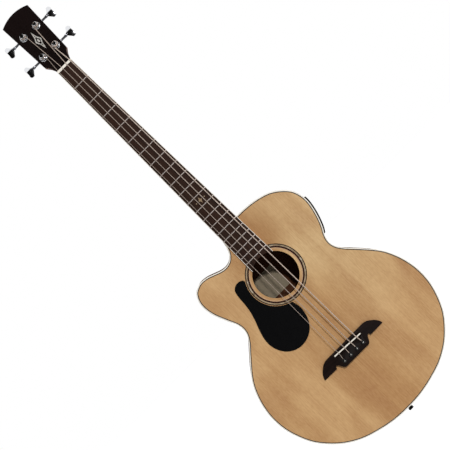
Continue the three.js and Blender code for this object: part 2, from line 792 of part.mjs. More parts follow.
function saddleBlock(gap) {
  const floor = saddleSlotDepth - bridgeHeight;
  const geometry = new THREE.BoxGeometry(saddleLength + 2 * gap, 1, saddleThickness + 2 * gap);
  const place = geometry.getAttribute('position');
  const front = gap > 0 ? -saddleTop - overrun : fitGap - saddleTop;
  for (let i = 0; i < place.count; i += 1) place.setY(i, place.getY(i) > 0 ? floor : front);
  geometry.rotateY(Math.atan(slant)).translate(0, 0, saddleZ);
  return solidOf(geometry);
}
const bridge = cut(bridgeSolid(), [saddleBlock(fitGap), ...pinRooms, ...stringRooms]);
addPiece('bridge', bridge, rosewood);
addPiece('saddle', cut(saddleBlock(0), stringRooms), ivory);

bassStrings.forEach((string) => {
  const underHead = -bridgeHeight - string.diameter / 2 - fitGap;
  const profile = [
    [0, underHead - pinHeadHeight],
    [pinHeadRadius * pinHeadShoulder.out, underHead - pinHeadHeight * pinHeadShoulder.up],
    [pinHeadRadius, underHead - pinHeadHeight / 2],
    [pinCollarRadius, underHead],
    [pinRadius, underHead],
    [pinRadius, -bridgeHeight],
    [pinTipRadius, plateBack],
    [0, plateBack],
  ];
  const pin = solidOf(turned(profile).translate(string.pinX, 0, pinZ));
  addPiece(`bridge_pin_${string.name}`, pin.subtract(stringRooms[bassStrings.indexOf(string)]), blackGloss);
});

// Neck: shaft, heel, tenon and headstock in one piece of wood
const shaftWidthAt = (z) => boardWidthAt(Math.min(z, 0));

function shaftSection(z) {
  const half = shaftWidthAt(z) / 2;
  const depth = neckDepthAtNut + (neckDepthAtBody - neckDepthAtNut) * (Math.min(z, 0) / bodyTop);
  return Array.from({ length: neckSteps + 1 }, (_, i) => {
    const angle = (Math.PI * i) / neckSteps;
    return new THREE.Vector3(half * Math.cos(angle), depth * Math.sin(angle) ** neckFullness, z);
  });
}
const heelFoot = bodyTop + fitGap;
const shaft = loft([nutLength, -heelReach, bodyTop / 2, heelFoot].map(shaftSection));

// The heel's shares: how far down it goes, its half width and its reach along the neck
const heelShares = [
  [0.02, 1, 1], [0.12, 0.98, 0.72], [0.25, 0.9, 0.44], [0.45, 0.72, 0.22], [0.7, 0.4, 0.08], [1, 0, 0],
];
const heel = loft(heelShares.map(([down, widthShare, reachShare]) => {
  const half = (heelCapWidth + (heelWidth - heelCapWidth) * widthShare) / 2;
  const reach = heelCapReach + (heelReach - heelCapReach) * reachShare;
  return Array.from({ length: neckSteps + 1 }, (_, i) => {
    const angle = (Math.PI * i) / neckSteps;
    return new THREE.Vector3(half * Math.cos(angle), heelDepth * down, heelFoot + reach * Math.sin(angle));
  });
}));
const tenon = box(
  [-tenonWidth / 2, tenonWidth / 2],
  [tenonTop, tenonDepth],
  [bodyTop - tenonLength, bodyTop + heelCapReach],
);

// The headstock's outline in its own frame. Shares of the flare's width and length, from the nut
const flareShares = [[0.06, 0.25], [0.16, 0.45], [0.38, 0.68], [0.72, 0.9], [1, 1.08]];

function headOutline(start) {
  const [rootHalf, nutHalf, endHalf] = [headRootWidth / 2, nutWidth / 2, headEndWidth / 2];
  const flare = flareShares.map(([out, up]) => [nutHalf + (rootHalf - nutHalf) * out, headFlare * up]);
  const corner = headLength - headCrown;
  const crown = Array.from({ length: neckSteps / 2 + 1 }, (_, i) => {
    const across = 1 - (2 * i) / neckSteps;
    return [endHalf * across, corner + headCrown * (1 - across ** 2)];
  });
  const right = [[nutHalf, start], ...flare, ...crown];
  const left = right.slice(0, -1).reverse().map(([x, y]) => [-x, y]);
  return [...right, ...left];
}

const posts = bassStrings.map((string) => [string.side * postOffset, string.reach]);
const postRooms = posts.map(([x, y]) => solidOf(
  turned([[0, -headThickness - overrun], [bushingRadius + fitGap, -headThickness - overrun],
    [bushingRadius + fitGap, overrun], [0, overrun]]).rotateX(Math.PI / 2).translate(x, y, 0),
));
const headPlate = cut(
  slab(headOutline(-headSink), [-headThickness, -overlayThickness - fitGap]),
  postRooms,
);
const headPlateInPlace = solidOf(geometryOf(headPlate).applyMatrix4(head.matrixWorld));
const rodChannel = box(
  [-rodRadius - fitGap, rodRadius + fitGap],
  [-overrun, rodAxisDepth + rodRadius + fitGap],
  [bodyTop - tenonLength - overrun, -rodHeadRoom],
);
const neckTopRoom = box([-nutWidth, nutWidth], [-overrun, 0], [bodyTop - tenonLength, nutLength]);
const strapZ = heelFoot + heelCapReach / 2;
const strapRoom = solidOf(turned([[0, heelDepth - strapScrewLength - fitGap],
  [strapScrewRadius + fitGap, heelDepth - strapScrewLength - fitGap],
  [strapScrewRadius + fitGap, heelDepth + overrun], [0, heelDepth + overrun]]).translate(0, 0, strapZ));
const neck = cut(join([shaft, heel, tenon, headPlateInPlace]), [rodChannel, neckTopRoom, strapRoom]);
addPiece('neck', neck, mahogany);
const overlayStart = overlayThickness * Math.tan(THREE.MathUtils.degToRad(headTilt)) + fitGap;
const overlay = cut(slab(headOutline(overlayStart), [-overlayThickness, 0]), postRooms);
addPiece('headstock_overlay', overlay, blackGloss, head);

// Truss rod in its channel, and the nut at its foot, reached through the soundhole
const rodEnd = bodyTop - neckBlockLength + rodNutLength;
const alongNeck = (profile, steps) => (
  turned(profile, steps).rotateX(Math.PI / 2).translate(0, rodAxisDepth, 0)
);
const rod = alongNeck([[0, rodEnd], [rodRadius, rodEnd], [rodRadius, -rodHeadRoom - fitGap],
  [0, -rodHeadRoom - fitGap]]);
addPiece('truss_rod', solidOf(rod), steel);
const rodNut = alongNeck([
  [0, rodEnd - fitGap - rodNutLength], [rodNutRadius, rodEnd - fitGap - rodNutLength],
  [rodNutRadius, rodEnd - fitGap], [0, rodEnd - fitGap],
], stringSides);
addPiece('truss_rod_nut', solidOf(rodNut), steel);

// Fingerboard with its frets
function crownedSection(z, lift, foot) {
  const half = boardWidthAt(z) / 2;
  const top = Array.from({ length: crownSteps + 1 }, (_, i) => {
    const x = half * (1 - (2 * i) / crownSteps);
    return new THREE.Vector3(x, x ** 2 / (2 * boardCrownRadius) - boardThickness - lift, z);
  });
  return [new THREE.Vector3(-half, foot, z), new THREE.Vector3(half, foot, z), ...top];
}
const boardBlank = loft([0, boardEnd - soundholeRadius / 2].map((z) => crownedSection(z, 0, 0)));
const fretBars = Array.from({ length: fretCount }, (_, i) => {
  const z = fretPlace(i + 1);
  const ends = [z + fretWidth / 2, z - fretWidth / 2];
  return loft(ends.map((at) => crownedSection(at, fretHeight, -fretHeight)));
});
const holeColumn = plate(soundholeRing, [-boardThickness - overrun, overrun]);
const boardTail = box([-boardEndWidth, boardEndWidth], [-boardThickness - overrun, overrun],
  [holeZ - soundholeRadius, boardEnd]);
addPiece('fingerboard', cut(join([boardBlank, ...fretBars]), [holeColumn, boardTail]), rosewood);

const nutBlock = box([-nutWidth / 2, nutWidth / 2], [-nutHeight, 0], [0, nutLength]);
addPiece('nut', cut(nutBlock, stringRooms), ivory);

bassStrings.forEach((string) => {
  const { points, radii } = routes.get(string);
  addPiece(`string_${string.name}`, tube(points, radii), stringBronze);
});

// Tuners, built about their post in the headstock's frame
const gearSpacing = gearRadius + wormRadius + fitGap;
const housingTop = -headThickness - fitGap;
const shaftHeight = housingTop - keyShaftDrop;
const standing = (profile, steps) => turned(profile, steps).rotateX(Math.PI / 2);

function bushing() {
  const sleeveEnd = -headThickness + fitGap;
  const seat = fitGap;
  return solidOf(standing([
    [bushingBore, sleeveEnd], [bushingRadius, sleeveEnd], [bushingRadius, seat], [washerRadius, seat],
    [washerRadius, seat + washerHeight], [hexRadius, seat + washerHeight], [hexRadius, hexHeight],
    [bushingBore, hexHeight], [bushingBore, sleeveEnd],
  ]));
}

function post() {
  const gearFoot = shaftHeight - gearWidth / 2;
  const gearTop = shaftHeight + gearWidth / 2;
  const pivot = housingTop - housingRoom + fitGap;
  const flangeFoot = hexHeight + fitGap;
  const blank = solidOf(standing([
    [0, pivot], [postShaftRadius / 2, pivot], [postShaftRadius / 2, gearFoot], [gearRadius, gearFoot],
    [gearRadius, gearTop], [postShaftRadius, gearTop], [postShaftRadius, flangeFoot],
    [flangeRadius, flangeFoot], [flangeRadius, flangeFoot + flangeHeight], [drumRadius, drumFoot],
    [drumRadius, drumTop], [postCapRadius, drumTop + fitGap], [postCapRadius, drumTop + postCapHeight],
    [0, drumTop + postCapHeight],
  ]));
  const slot = box([-slotWidth / 2, slotWidth / 2], [-overrun, overrun],
    [drumTop + postCapHeight - slotDepth, drumTop + overrun]);
  return blank.subtract(slot);
}

function housing(side) {
  const across = gearRadius + 2 * fitGap + housingWall;
  const low = -gearRadius - 2 * fitGap;
  const high = gearSpacing + wormRadius + 2 * fitGap;
  const shell = box([-across, across], [low - housingWall, high + housingWall],
    [housingTop - housingRoom - housingWall, housingTop]);
  const room = box([housingWall - across, across - housingWall], [low, high],
    [housingTop - housingRoom, housingTop + overrun]);
  const shaftRoom = solidOf(turned([[0, 0], [keyShaftRadius + fitGap, 0],
    [keyShaftRadius + fitGap, overrun + across], [0, overrun + across]])
    .rotateZ(-side * Math.PI / 2).translate(0, gearSpacing, shaftHeight));
  return cut(shell, [room, shaftRoom]);
}

// Half of the key's outline, as shares of its length and half height, from the shaft outwards
const keyShares = [
  [0, 0.17], [0.21, 0.22], [0.33, 0.38], [0.5, 0.7], [0.62, 0.95], [0.79, 1], [0.97, 0.79], [1, 0.64],
  [0.925, 0.35], [0.9, 0.12],
];

function key(side) {
  const start = keyStart - postOffset;
  const wing = keyShares.map(([out, up]) => [side * (start + keyLength * out), keyHalfHeight * up]);
  const otherWing = wing.map(([x, y]) => [x, -y]).reverse();
  const leaf = slab([...wing, ...otherWing], [-keyThickness / 2, keyThickness / 2]);
  const wall = gearRadius + 2 * fitGap + housingWall + fitGap;
  const spindle = solidOf(turned([
    [0, -wormLength / 2], [wormRadius, -wormLength / 2], [wormRadius, wormLength / 2],
    [keyShaftRadius, wormLength / 2], [keyShaftRadius, wall], [keyCollarRadius, wall],
    [keyCollarRadius, wall + keyCollarLength], [keyShaftRadius, wall + keyCollarLength],
    [keyShaftRadius, start - keyCollarLength], [keyCollarRadius, start],
    [keyCollarRadius, start + keyCollarLength],
    [0, start + keyLength / 2],
  ]).rotateZ(-side * Math.PI / 2));
  return leaf.add(spindle).translate([0, gearSpacing, shaftHeight]);
}

bassStrings.forEach((string) => {
  const station = new THREE.Group();
  station.position.set(string.side * postOffset, string.reach, 0);
  head.add(station);
  addPiece(`tuner_bushing_${string.name}`, bushing(), chrome, station);
  addPiece(`tuner_post_${string.name}`, post(), chrome, station);
  addPiece(`tuner_housing_${string.name}`, housing(string.side), chrome, station);
  addPiece(`tuner_key_${string.name}`, key(string.side), chrome, station);
});

// Preamp: a frame round a sunk floor, with its chassis inside the box
const tunerButton = 'tuner_button';
const knobDepth = (row) => preampFront + preampRim + (preampHeight - 2 * preampRim) * row;
const controls = [
  ...Object.entries(knobPlaceShares).map(([name, share]) => (
    { name, share, row: knobRowShare, radius: knobRadius, height: knobHeight })),
  {
    name: tunerButton,
    share: buttonPlaceShare,
    row: buttonRowShare,
    radius: buttonRadius,
    height: knobHeight,
  },
];

// A control's place on the floor, and the way that it faces
function controlSeat({ share, row }) {
  const z = preampTop - preampLength * share;
  const [[aboveX, aboveZ], [belowX, belowZ]] = [knobRadius, -knobRadius].map(
    (step) => rimStretch(z + step, preampBottom, preampFloor)[0],
  );
  const facing = new THREE.Vector3(aboveZ - belowZ, 0, belowX - aboveX).normalize();
  const place = new THREE.Vector3((aboveX + belowX) / 2, knobDepth(row), (aboveZ + belowZ) / 2);
  return { place, facing };
}

function placedTurning(geometry, { place, facing }) {
  const turn = new THREE.Quaternion().setFromUnitVectors(new THREE.Vector3(0, 1, 0), facing);
  return solidOf(geometry.applyQuaternion(turn).translate(...place.toArray()));
}

const seats = new Map(controls.map((control) => [control, controlSeat(control)]));
const spindleRooms = controls.map((control) => placedTurning(turned([
  [0, -spindleLength - 2 * fitGap], [spindleRadius + fitGap, -spindleLength - 2 * fitGap],
  [spindleRadius + fitGap, overrun], [0, overrun],
]), seats.get(control)));
const button = controls.find(({ name }) => name === tunerButton);

// Round seats that are sunk in the floor, so that the knobs turn and the button goes in freely
const controlRooms = controls.map((control) => {
  const floor = controlLift - fitGap - (control === button ? buttonTravel : 0);
  const radius = control.radius + 2 * fitGap;
  const room = turned([[0, floor], [radius, floor], [radius, overrun], [0, overrun]]);
  return placedTurning(room, seats.get(control));
});
const preamp = cut(
  join([
    rimBlock(preampProud, fitGap, 0, [preampFront, preampBack]),
    rimBlock(preampFloor, -chassisDepth, chassisMargin, recessed(chassisMargin)),
  ]),
  [
    rimBlock(overrun, preampFloor, preampRim, recessed(preampRim)),
    ...controlRooms,
    ...spindleRooms,
  ],
);
addPiece('preamp', preamp, blackPlastic);
controls.forEach((control) => {
  const stem = control === button ? buttonStem : spindleLength;
  const blank = turned([
    [0, -stem], [spindleRadius, -stem], [spindleRadius, controlLift], [control.radius, controlLift],
    [control.radius, controlLift + control.height - fitGap],
    [control.radius - fitGap, controlLift + control.height], [0, controlLift + control.height],
  ]);
  addPiece(control.name, placedTurning(blank, seats.get(control)), blackGloss);
});

// End pin with the jack socket's bore, through the side and the end block
const endPin = turned([
  [jackBore, endPinProud], [endPinRadius, endPinProud], [endPinRadius, endPinProud - endPinFlange],
  [endPinWaist, endPinProud - endPinFlange - endPinTaper], [endPinWaist, endPinFlange],
  [endPinRadius, endPinFlange / 2], [endPinRadius, fitGap], [barrelRadius, fitGap],
  [barrelRadius, -barrelLength], [0, -barrelLength], [0, endPinProud - jackBoreLength],
  [jackBore, endPinProud - jackBoreLength], [jackBore, endPinProud],
]);
addPiece('end_pin_jack', solidOf(endPin.rotateX(-Math.PI / 2).translate(0, endPinDepth, tail)), blackGloss);

const strapButton = turned([
  [0, heelDepth - strapScrewLength], [strapScrewRadius, heelDepth - strapScrewLength],
  [strapScrewRadius, heelDepth], [strapButtonRadius, heelDepth],
  [strapButtonRadius, heelDepth + strapButtonFlange / 2], [strapButtonWaist, heelDepth + strapButtonFlange],
  [strapButtonWaist, heelDepth + strapButtonHeight - strapButtonFlange],
  [strapButtonRadius, heelDepth + strapButtonHeight - strapButtonFlange / 2],
  [strapButtonRadius, heelDepth + strapButtonHeight], [0, heelDepth + strapButtonHeight],
]);
addPiece('strap_button', solidOf(strapButton.translate(0, 0, strapZ)), chrome);

export default part;
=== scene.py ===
"""Looks of a left-handed acoustic bass guitar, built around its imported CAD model.

+X is the viewer's right of the front, -Y is the front and +Z runs up the neck, as in the CAD model.
Sizes are written in millimetres and turned into metres once, by MM.
"""

import math

import bmesh
import bpy
from bpy.props import FloatProperty, FloatVectorProperty, IntProperty, PointerProperty
from mathutils import Matrix, Vector


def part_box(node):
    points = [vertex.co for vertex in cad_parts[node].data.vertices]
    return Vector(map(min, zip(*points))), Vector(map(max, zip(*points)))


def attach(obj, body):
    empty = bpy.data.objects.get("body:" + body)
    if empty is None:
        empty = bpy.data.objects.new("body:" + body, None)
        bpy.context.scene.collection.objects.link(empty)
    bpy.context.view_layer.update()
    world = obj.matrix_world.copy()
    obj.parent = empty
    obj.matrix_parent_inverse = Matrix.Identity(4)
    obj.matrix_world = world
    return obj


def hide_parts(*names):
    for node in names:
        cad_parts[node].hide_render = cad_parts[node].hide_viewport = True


bl_info = {
    "name": "Acoustic bass guitar",
    "version": (1, 0, 0),
    "blender": (4, 5, 0),
    "location": "3D View > Sidebar > Bass",
    "description": "Builds the finished pieces of an acoustic bass guitar and its stage",
    "category": "Object",
}

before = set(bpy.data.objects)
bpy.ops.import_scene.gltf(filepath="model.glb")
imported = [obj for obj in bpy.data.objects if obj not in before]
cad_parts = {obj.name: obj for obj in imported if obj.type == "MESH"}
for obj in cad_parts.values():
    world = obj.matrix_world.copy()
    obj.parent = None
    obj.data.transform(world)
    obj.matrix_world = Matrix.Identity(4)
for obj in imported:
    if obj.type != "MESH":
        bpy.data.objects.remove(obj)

MM = 0.001
GUITAR = "guitar"

# Outlines, as listed shares. The body's are shares of half the lower bout's width and of the
# body's length, from its top
LOWER_BOUT_SHARES = [
    (0.586, 0.3255), (0.5975, 0.352), (0.638, 0.379), (0.728, 0.42), (0.84, 0.4725), (0.9, 0.508),
    (0.958, 0.562), (0.99, 0.615), (1, 0.66), (0.987, 0.722), (0.932, 0.793), (0.859, 0.847),
    (0.704, 0.914), (0.529, 0.958), (0.355, 0.9815), (0.18, 0.996),
]
SHOULDER_SHARES = [
    (0.231, 0.001), (0.371, 0.008), (0.511, 0.025), (0.582, 0.0425), (0.653, 0.069), (0.689, 0.09),
    (0.715, 0.122), (0.721, 0.154), (0.711, 0.184), (0.694, 0.2125), (0.6715, 0.2405), (0.642, 0.269),
    (0.604, 0.297),
]
CUTAWAY_SHARES = [
    (0.598, 0.298), (0.627, 0.2706), (0.657, 0.242), (0.684, 0.2137), (0.7013, 0.185), (0.7065, 0.1607),
    (0.703, 0.1413), (0.693, 0.1266), (0.676, 0.1119), (0.645, 0.0968), (0.58, 0.085), (0.5465, 0.0829),
    (0.477, 0.0867), (0.407, 0.0968), (0.338, 0.1071), (0.286, 0.1104), (0.2345, 0.1066), (0.2, 0.098),
    (0.171, 0.085), (0.141, 0.057), (0.126, 0.029),
]
# The pickguard's are shares of its inner radius, from the soundhole's centre
GUARD_SHARES = [
    (-0.864, 0.607), (-0.957, 0.661), (-1.07, 0.674), (-1.2, 0.634), (-1.287, 0.549), (-1.342, 0.3),
    (-1.363, 0.043), (-1.414, -0.27), (-1.513, -0.585), (-1.634, -0.9), (-1.717, -1.214),
    (-1.72, -1.485), (-1.634, -1.756), (-1.478, -1.97), (-1.256, -2.113), (-1, -2.163),
    (-0.714, -2.113), (-0.471, -1.963), (-0.293, -1.727), (-0.207, -1.44), (-0.2, -1.2),
    (-0.24, -0.971),
]
# The bridge's are shares of half its width and of its length from its top edge, then of its crown's height
BRIDGE_SHARES = [
    (0, 0), (0.633, 0), (0.744, 0.065), (0.844, 0.209), (0.933, 0.4), (0.983, 0.58), (1, 0.727),
    (0.594, 0.727), (0.572, 0.604), (0.544, 0.592), (0.511, 0.664), (0.431, 0.952), (0.4, 1), (0, 1),
]
WING_SHARES = [(0, 1), (0.42, 1), (0.62, 0.62), (1, 0)]
# The heel's are how far down, its half width and its reach along the neck
HEEL_SHARES = [
    (0, 1, 1), (0.12, 0.98, 0.72), (0.25, 0.9, 0.44), (0.45, 0.72, 0.22), (0.7, 0.4, 0.08), (1, 0, 0),
]
# The headstock's flare is in shares of the flare's width and length, from the nut
FLARE_SHARES = [(0.06, 0.25), (0.16, 0.45), (0.38, 0.68), (0.72, 0.9), (1, 1.08)]
FLARE_STEPS = 5
# Half of a tuner key, in shares of its length and half height, from the shaft outwards
KEY_SHARES = [
    (0, 0.17), (0.21, 0.22), (0.33, 0.38), (0.5, 0.7), (0.62, 0.95), (0.79, 1), (0.97, 0.79),
    (1, 0.64), (0.965, 0.35), (0.95, 0),
]
SPREAD_SHARES = {"g": -0.5, "d": -0.17, "a": 0.17, "e": 0.5}
# The controls' are along the preamp's length and across its floor
CONTROL_PLACES = {
    "volume_knob": (0.2, 0.34), "bass_knob": (0.48, 0.34), "treble_knob": (0.76, 0.34),
    "tuner_button": (0.48, 0.72),
}
# Walls and clearances that keep the pieces apart or let them move
CUP_WALL = 0.6 * MM
AIR = 0.3 * MM
GEAR_AIR = 0.6 * MM
SEAT = 0.05 * MM
BUTTON_SEAT = -1.1 * MM
# How deep a string sits in the saddle, and how high over the frets in the nut
SADDLE_BITE = 0.12 * MM
NUT_ACTION = 0.5 * MM
# A string's points from the saddle's last over the nut's bend to the winding's first
NUT_POINTS = slice(14, 23)
# From the guitar's middle to the key lamp
KEY_SIDE = (0.33, -1, 0.3)
# Edges that turn by less, in degrees, are shaded smoothly
SMOOTH_ANGLE = 35


def length(name, text, size):
    """A size that a user may change, given in millimetres."""
    return FloatProperty(name=name, description=text, default=size * MM, unit="LENGTH", precision=5)


def angle(name, text, degrees):
    """An angle that a user may change, given in degrees."""
    return FloatProperty(name=name, description=text, default=math.radians(degrees), subtype="ANGLE")


def number(name, text, value, unit="NONE"):
    """A plain number that a user may change."""
    return FloatProperty(name=name, description=text, default=value, unit=unit)


def count(name, text, value):
    """How many there are of something, at least one."""
    return IntProperty(name=name, description=text, default=value, min=1)


def linear(red, green, blue):
    """A colour given in 0-255 values, as Blender's linear colour."""
    return tuple(
        c / 12.92 if c <= 0.04045 else ((c + 0.055) / 1.055) ** 2.4
        for c in (red / 255, green / 255, blue / 255)
    )


def tone(name, text, red, green, blue):
    """A colour that a user may change, given in 0-255 values."""
    return FloatVectorProperty(
        name=name, description=text, default=linear(red, green, blue), subtype="COLOR", min=0, max=1
    )


class BassBodySizes(bpy.types.PropertyGroup):
    """Sizes of the sound box"""

    length: length("Body length", "From the heel's foot to the tail", 569.5)
    width: length("Lower bout", "Width of the lower bout", 464)
    shift: length("Outline shift", "How far the outline's middle lies from the strings' middle", -1.6)
    top_thickness: length("Soundboard", "Thickness of the soundboard", 3.2)
    wall: length("Side", "Thickness of the side, and width of the ivory binding", 2.3)
    purfling: length("Purfling", "Width of the dark line inside the binding", 2.0)
    binding: length("Binding depth", "How far the binding reaches down the side", 6)
    back_thickness: length("Back", "Thickness of the back", 3)
    depth: length("Depth", "From the soundboard's face to the back's crown", 126.6)
    arch: length("Back radius", "Radius of the back's arch", 4500)
    crown: length("Back crown", "Place of the arch's crown from the body's top", 447.5)
    hole_place: length("Soundhole place", "The soundhole's centre from the body's top", 153.2)
    hole_radius: length("Soundhole", "Radius of the soundhole", 52.5)
    guard_radius: length("Pickguard inner radius", "Radius of the pickguard's edge at the rosette", 70)
    guard_thickness: length("Pickguard", "Thickness of the pickguard", 1.4)


class BassNeckSizes(bpy.types.PropertyGroup):
    """Sizes of the neck, the fingerboard and the headstock"""

    scale: length("Scale", "From the nut to the twelfth fret, twice", 863.6)
    frets: count("Frets", "How many frets there are", 20)
    body_fret: count("Body fret", "The fret at the body's top", 15)
    nut_width: length("Nut width", "Width of the nut and of the neck there", 43)
    nut_length: length("Nut length", "Length of the nut along the neck", 5.5)
    nut_height: length("Nut height", "Height of the nut over the neck", 10)
    end_width: length("Board end", "Width of the fingerboard at the soundhole", 65)
    board: length("Fingerboard", "Thickness of the fingerboard", 7)
    crown_radius: length("Crown radius", "Radius of the fingerboard's crown", 400)
    edge: length("Board binding", "Width of the ivory strip at each edge", 1.2)
    fret_height: length("Fret height", "Height of a fret over the fingerboard", 1.1)
    fret_width: length("Fret width", "Width of a fret", 2.4)
    shaft_near: length("Depth at nut", "Depth of the neck at the nut", 15.5)
    shaft_far: length("Depth at body", "Depth of the neck at the body", 18.5)
    heel_width: length("Heel width", "Width of the heel at the soundboard", 58)
    heel_depth: length("Heel depth", "How far the heel reaches to the back", 98)
    heel_reach: length("Heel reach", "Reach of the heel along the neck at the top", 76)
    cap_width: length("Cap width", "Width of the heel's cap", 25)
    cap_reach: length("Cap reach", "Reach of the heel's cap along the neck", 19)
    head_length: length("Headstock", "Length of the headstock", 172.5)
    head_crown: length("Headstock crown", "Rise of the headstock's top edge", 9.6)
    head_end: length("Headstock end", "Width of the headstock at its corners", 78.4)
    head_root: length("Headstock root", "Width of the headstock past its flare", 67.6)
    flare: length("Flare", "Length of the flare past the nut", 27)
    head_thickness: length("Headstock thickness", "Thickness with the overlay", 15.7)
    overlay: length("Overlay", "Thickness of the black overlay", 1.2)
    head_sink: length("Headstock sink", "How far the headstock runs under the nut", 9)
    tilt: angle("Tilt", "How far the headstock leans back", 14)


class BassStringSizes(bpy.types.PropertyGroup):
    """Sizes of the strings, the bridge and the bridge pins"""

    thin: length("First string", "Diameter of the thinnest string", 1.15)
    light: length("Second string", "Diameter of the second string", 1.65)
    heavy: length("Third string", "Diameter of the third string", 2.15)
    thick: length("Fourth string", "Diameter of the thickest string", 2.65)
    nut_spread: length("Nut spread", "From the first to the fourth string at the nut", 36)
    saddle_spread: length("Saddle spread", "From the first to the fourth string at the saddle", 53)
    pin_spread: length("Pin spread", "From the first to the fourth bridge pin", 57.4)
    compensation: length("Compensation", "How far the saddle lies past the scale length", 11.2)
    turns: count("Turns", "Turns round each post", 2)
    air: length("Winding air", "Air between a winding's turns", 0.85)
    fit: length("Fit", "Clearance between fitted pieces", 0.3)
    ball_radius: length("Ball radius", "Radius of a string's ball end", 2.5)
    ball_length: length("Ball length", "Length of a string's ball end", 4.5)
    bridge_width: length("Bridge width", "Width of the bridge", 180)
    bridge_length: length("Bridge length", "Length of the bridge along the strings", 41.7)
    bridge_lead: length("Bridge lead", "From the saddle to the bridge's upper edge", 9.4)
    bridge_height: length("Bridge height", "Height of the bridge", 9.5)
    wing_height: length("Wing height", "Height of the bridge at its ends", 4)
    saddle_length: length("Saddle length", "Length of the saddle", 77)
    saddle_thickness: length("Saddle thickness", "Thickness of the saddle", 3)
    saddle_proud: length("Saddle height", "Height of the saddle over the bridge", 4)
    slant: angle("Slant", "Slant of the saddle", 3.3)
    pin_place: length("Pin place", "From the saddle to the bridge pins", 20.3)
    pin_radius: length("Pin radius", "Radius of a bridge pin's shank", 2.75)
    pin_tip: length("Pin tip", "Radius of a bridge pin's tip", 2.2)
    pin_head: length("Pin head", "Radius of a bridge pin's head", 4.7)
    pin_height: length("Pin head height", "Height of a bridge pin's head", 4.4)
    pin_depth: length("Pin depth", "How far the pins and strings reach behind the face", 5.7)


class BassTunerSizes(bpy.types.PropertyGroup):
    """Sizes of the tuners"""

    near: length("Lower posts", "Lower pair of posts from the nut", 47)
    far: length("Upper posts", "Upper pair of posts from the nut", 112.7)
    offset: length("Offset", "Posts from the headstock's middle", 19.7)
    drum: length("Drum", "Radius of a post's drum", 4.4)
    drum_foot: length("Drum foot", "Height of the drum's foot", 5)
    drum_top: length("Drum top", "Height of the drum's top", 14.95)
    cap: length("Post cap", "Radius of a post's cap", 5.2)
    cap_height: length("Post cap height", "Height of a post's cap", 2.6)
    shaft: length("Post shaft", "Radius of a post's shaft", 3.2)
    slot_width: length("Slot width", "Width of a post's slot", 2.8)
    slot_depth: length("Slot depth", "Depth of a post's slot", 3.2)
    washer: length("Washer", "Radius of a bushing's washer", 8.85)
    washer_height: length("Washer height", "Height of a bushing's washer", 1.3)
    hexagon: length("Hexagon", "Radius of a bushing's hexagon", 7.4)
    hexagon_height: length("Hexagon height", "Height of a bushing's hexagon", 3.4)
    sleeve: length("Sleeve", "Radius of a bushing's sleeve", 5.2)
    bore: length("Bore", "Radius of a bushing's bore", 3.6)
    gear: length("Gear", "Radius of a post's gear", 4.8)
    gear_width: length("Gear width", "Width of a post's gear", 4.4)
    worm: length("Worm", "Radius of a key's worm", 2.4)
    worm_length: length("Worm length", "Length of a key's worm", 10)
    room: length("Housing room", "Depth of the housing's room", 10.4)
    housing: length("Housing wall", "Thickness of the housing's wall", 1.6)
    shaft_drop: length("Key shaft drop", "Key shaft behind the headstock's back", 5.6)
    key_shaft: length("Key shaft", "Radius of a key's shaft", 2)
    collar: length("Key collar", "Radius of a key's collars", 3.4)
    collar_length: length("Key collar length", "Length of a key's collars", 2.4)
    key_start: length("Key start", "Key's inner end from the headstock's middle", 49.5)
    key_length: length("Key length", "Length of a key's button", 21.5)
    key_height: length("Key half height", "Half the height of a key's button", 15)


class BassElectricsSizes(bpy.types.PropertyGroup):
    """Sizes of the preamp, the end pin and the strap button"""

    top: length("Preamp place", "The preamp's upper end from the body's top", 79)
    long: length("Preamp length", "Length of the preamp along the side", 88)
    front: length("Preamp front", "The preamp's front edge from the soundboard's face", 26)
    tall: length("Preamp height", "Height of the preamp across the side", 50)
    proud: length("Frame", "How far the preamp's frame stands out", 4.6)
    floor: length("Floor", "How far the preamp's sunk floor stands out", 0.5)
    rim: length("Rim", "Width of the preamp's frame", 4)
    knob: length("Knob", "Radius of a knob", 5)
    knob_height: length("Knob height", "Height of a knob", 1.9)
    button: length("Button", "Radius of the tuner button", 3)
    lift: length("Lift", "Clearance under a knob", 0.6)
    spindle: length("Spindle", "Radius of a knob's spindle", 1.6)
    pin_depth: length("End pin place", "The end pin's axis from the soundboard's face", 60)
    pin_radius: length("End pin", "Radius of the end pin's flanges", 6.35)
    pin_waist: length("End pin waist", "Radius of the end pin's waist", 4.9)
    pin_proud: length("End pin length", "How far the end pin stands out", 15)
    pin_bore: length("Jack bore", "Radius of the jack's bore", 3.3)
    pin_bore_length: length("Jack depth", "Depth of the jack's bore", 34)
    barrel: length("Barrel", "Radius of the jack's barrel", 5.6)
    barrel_length: length("Barrel length", "Length of the jack's barrel", 40)
    strap_radius: length("Strap button", "Radius of the strap button", 6.5)
    strap_waist: length("Strap waist", "Radius of the strap button's waist", 4)
    strap_height: length("Strap height", "Height of the strap button", 12)


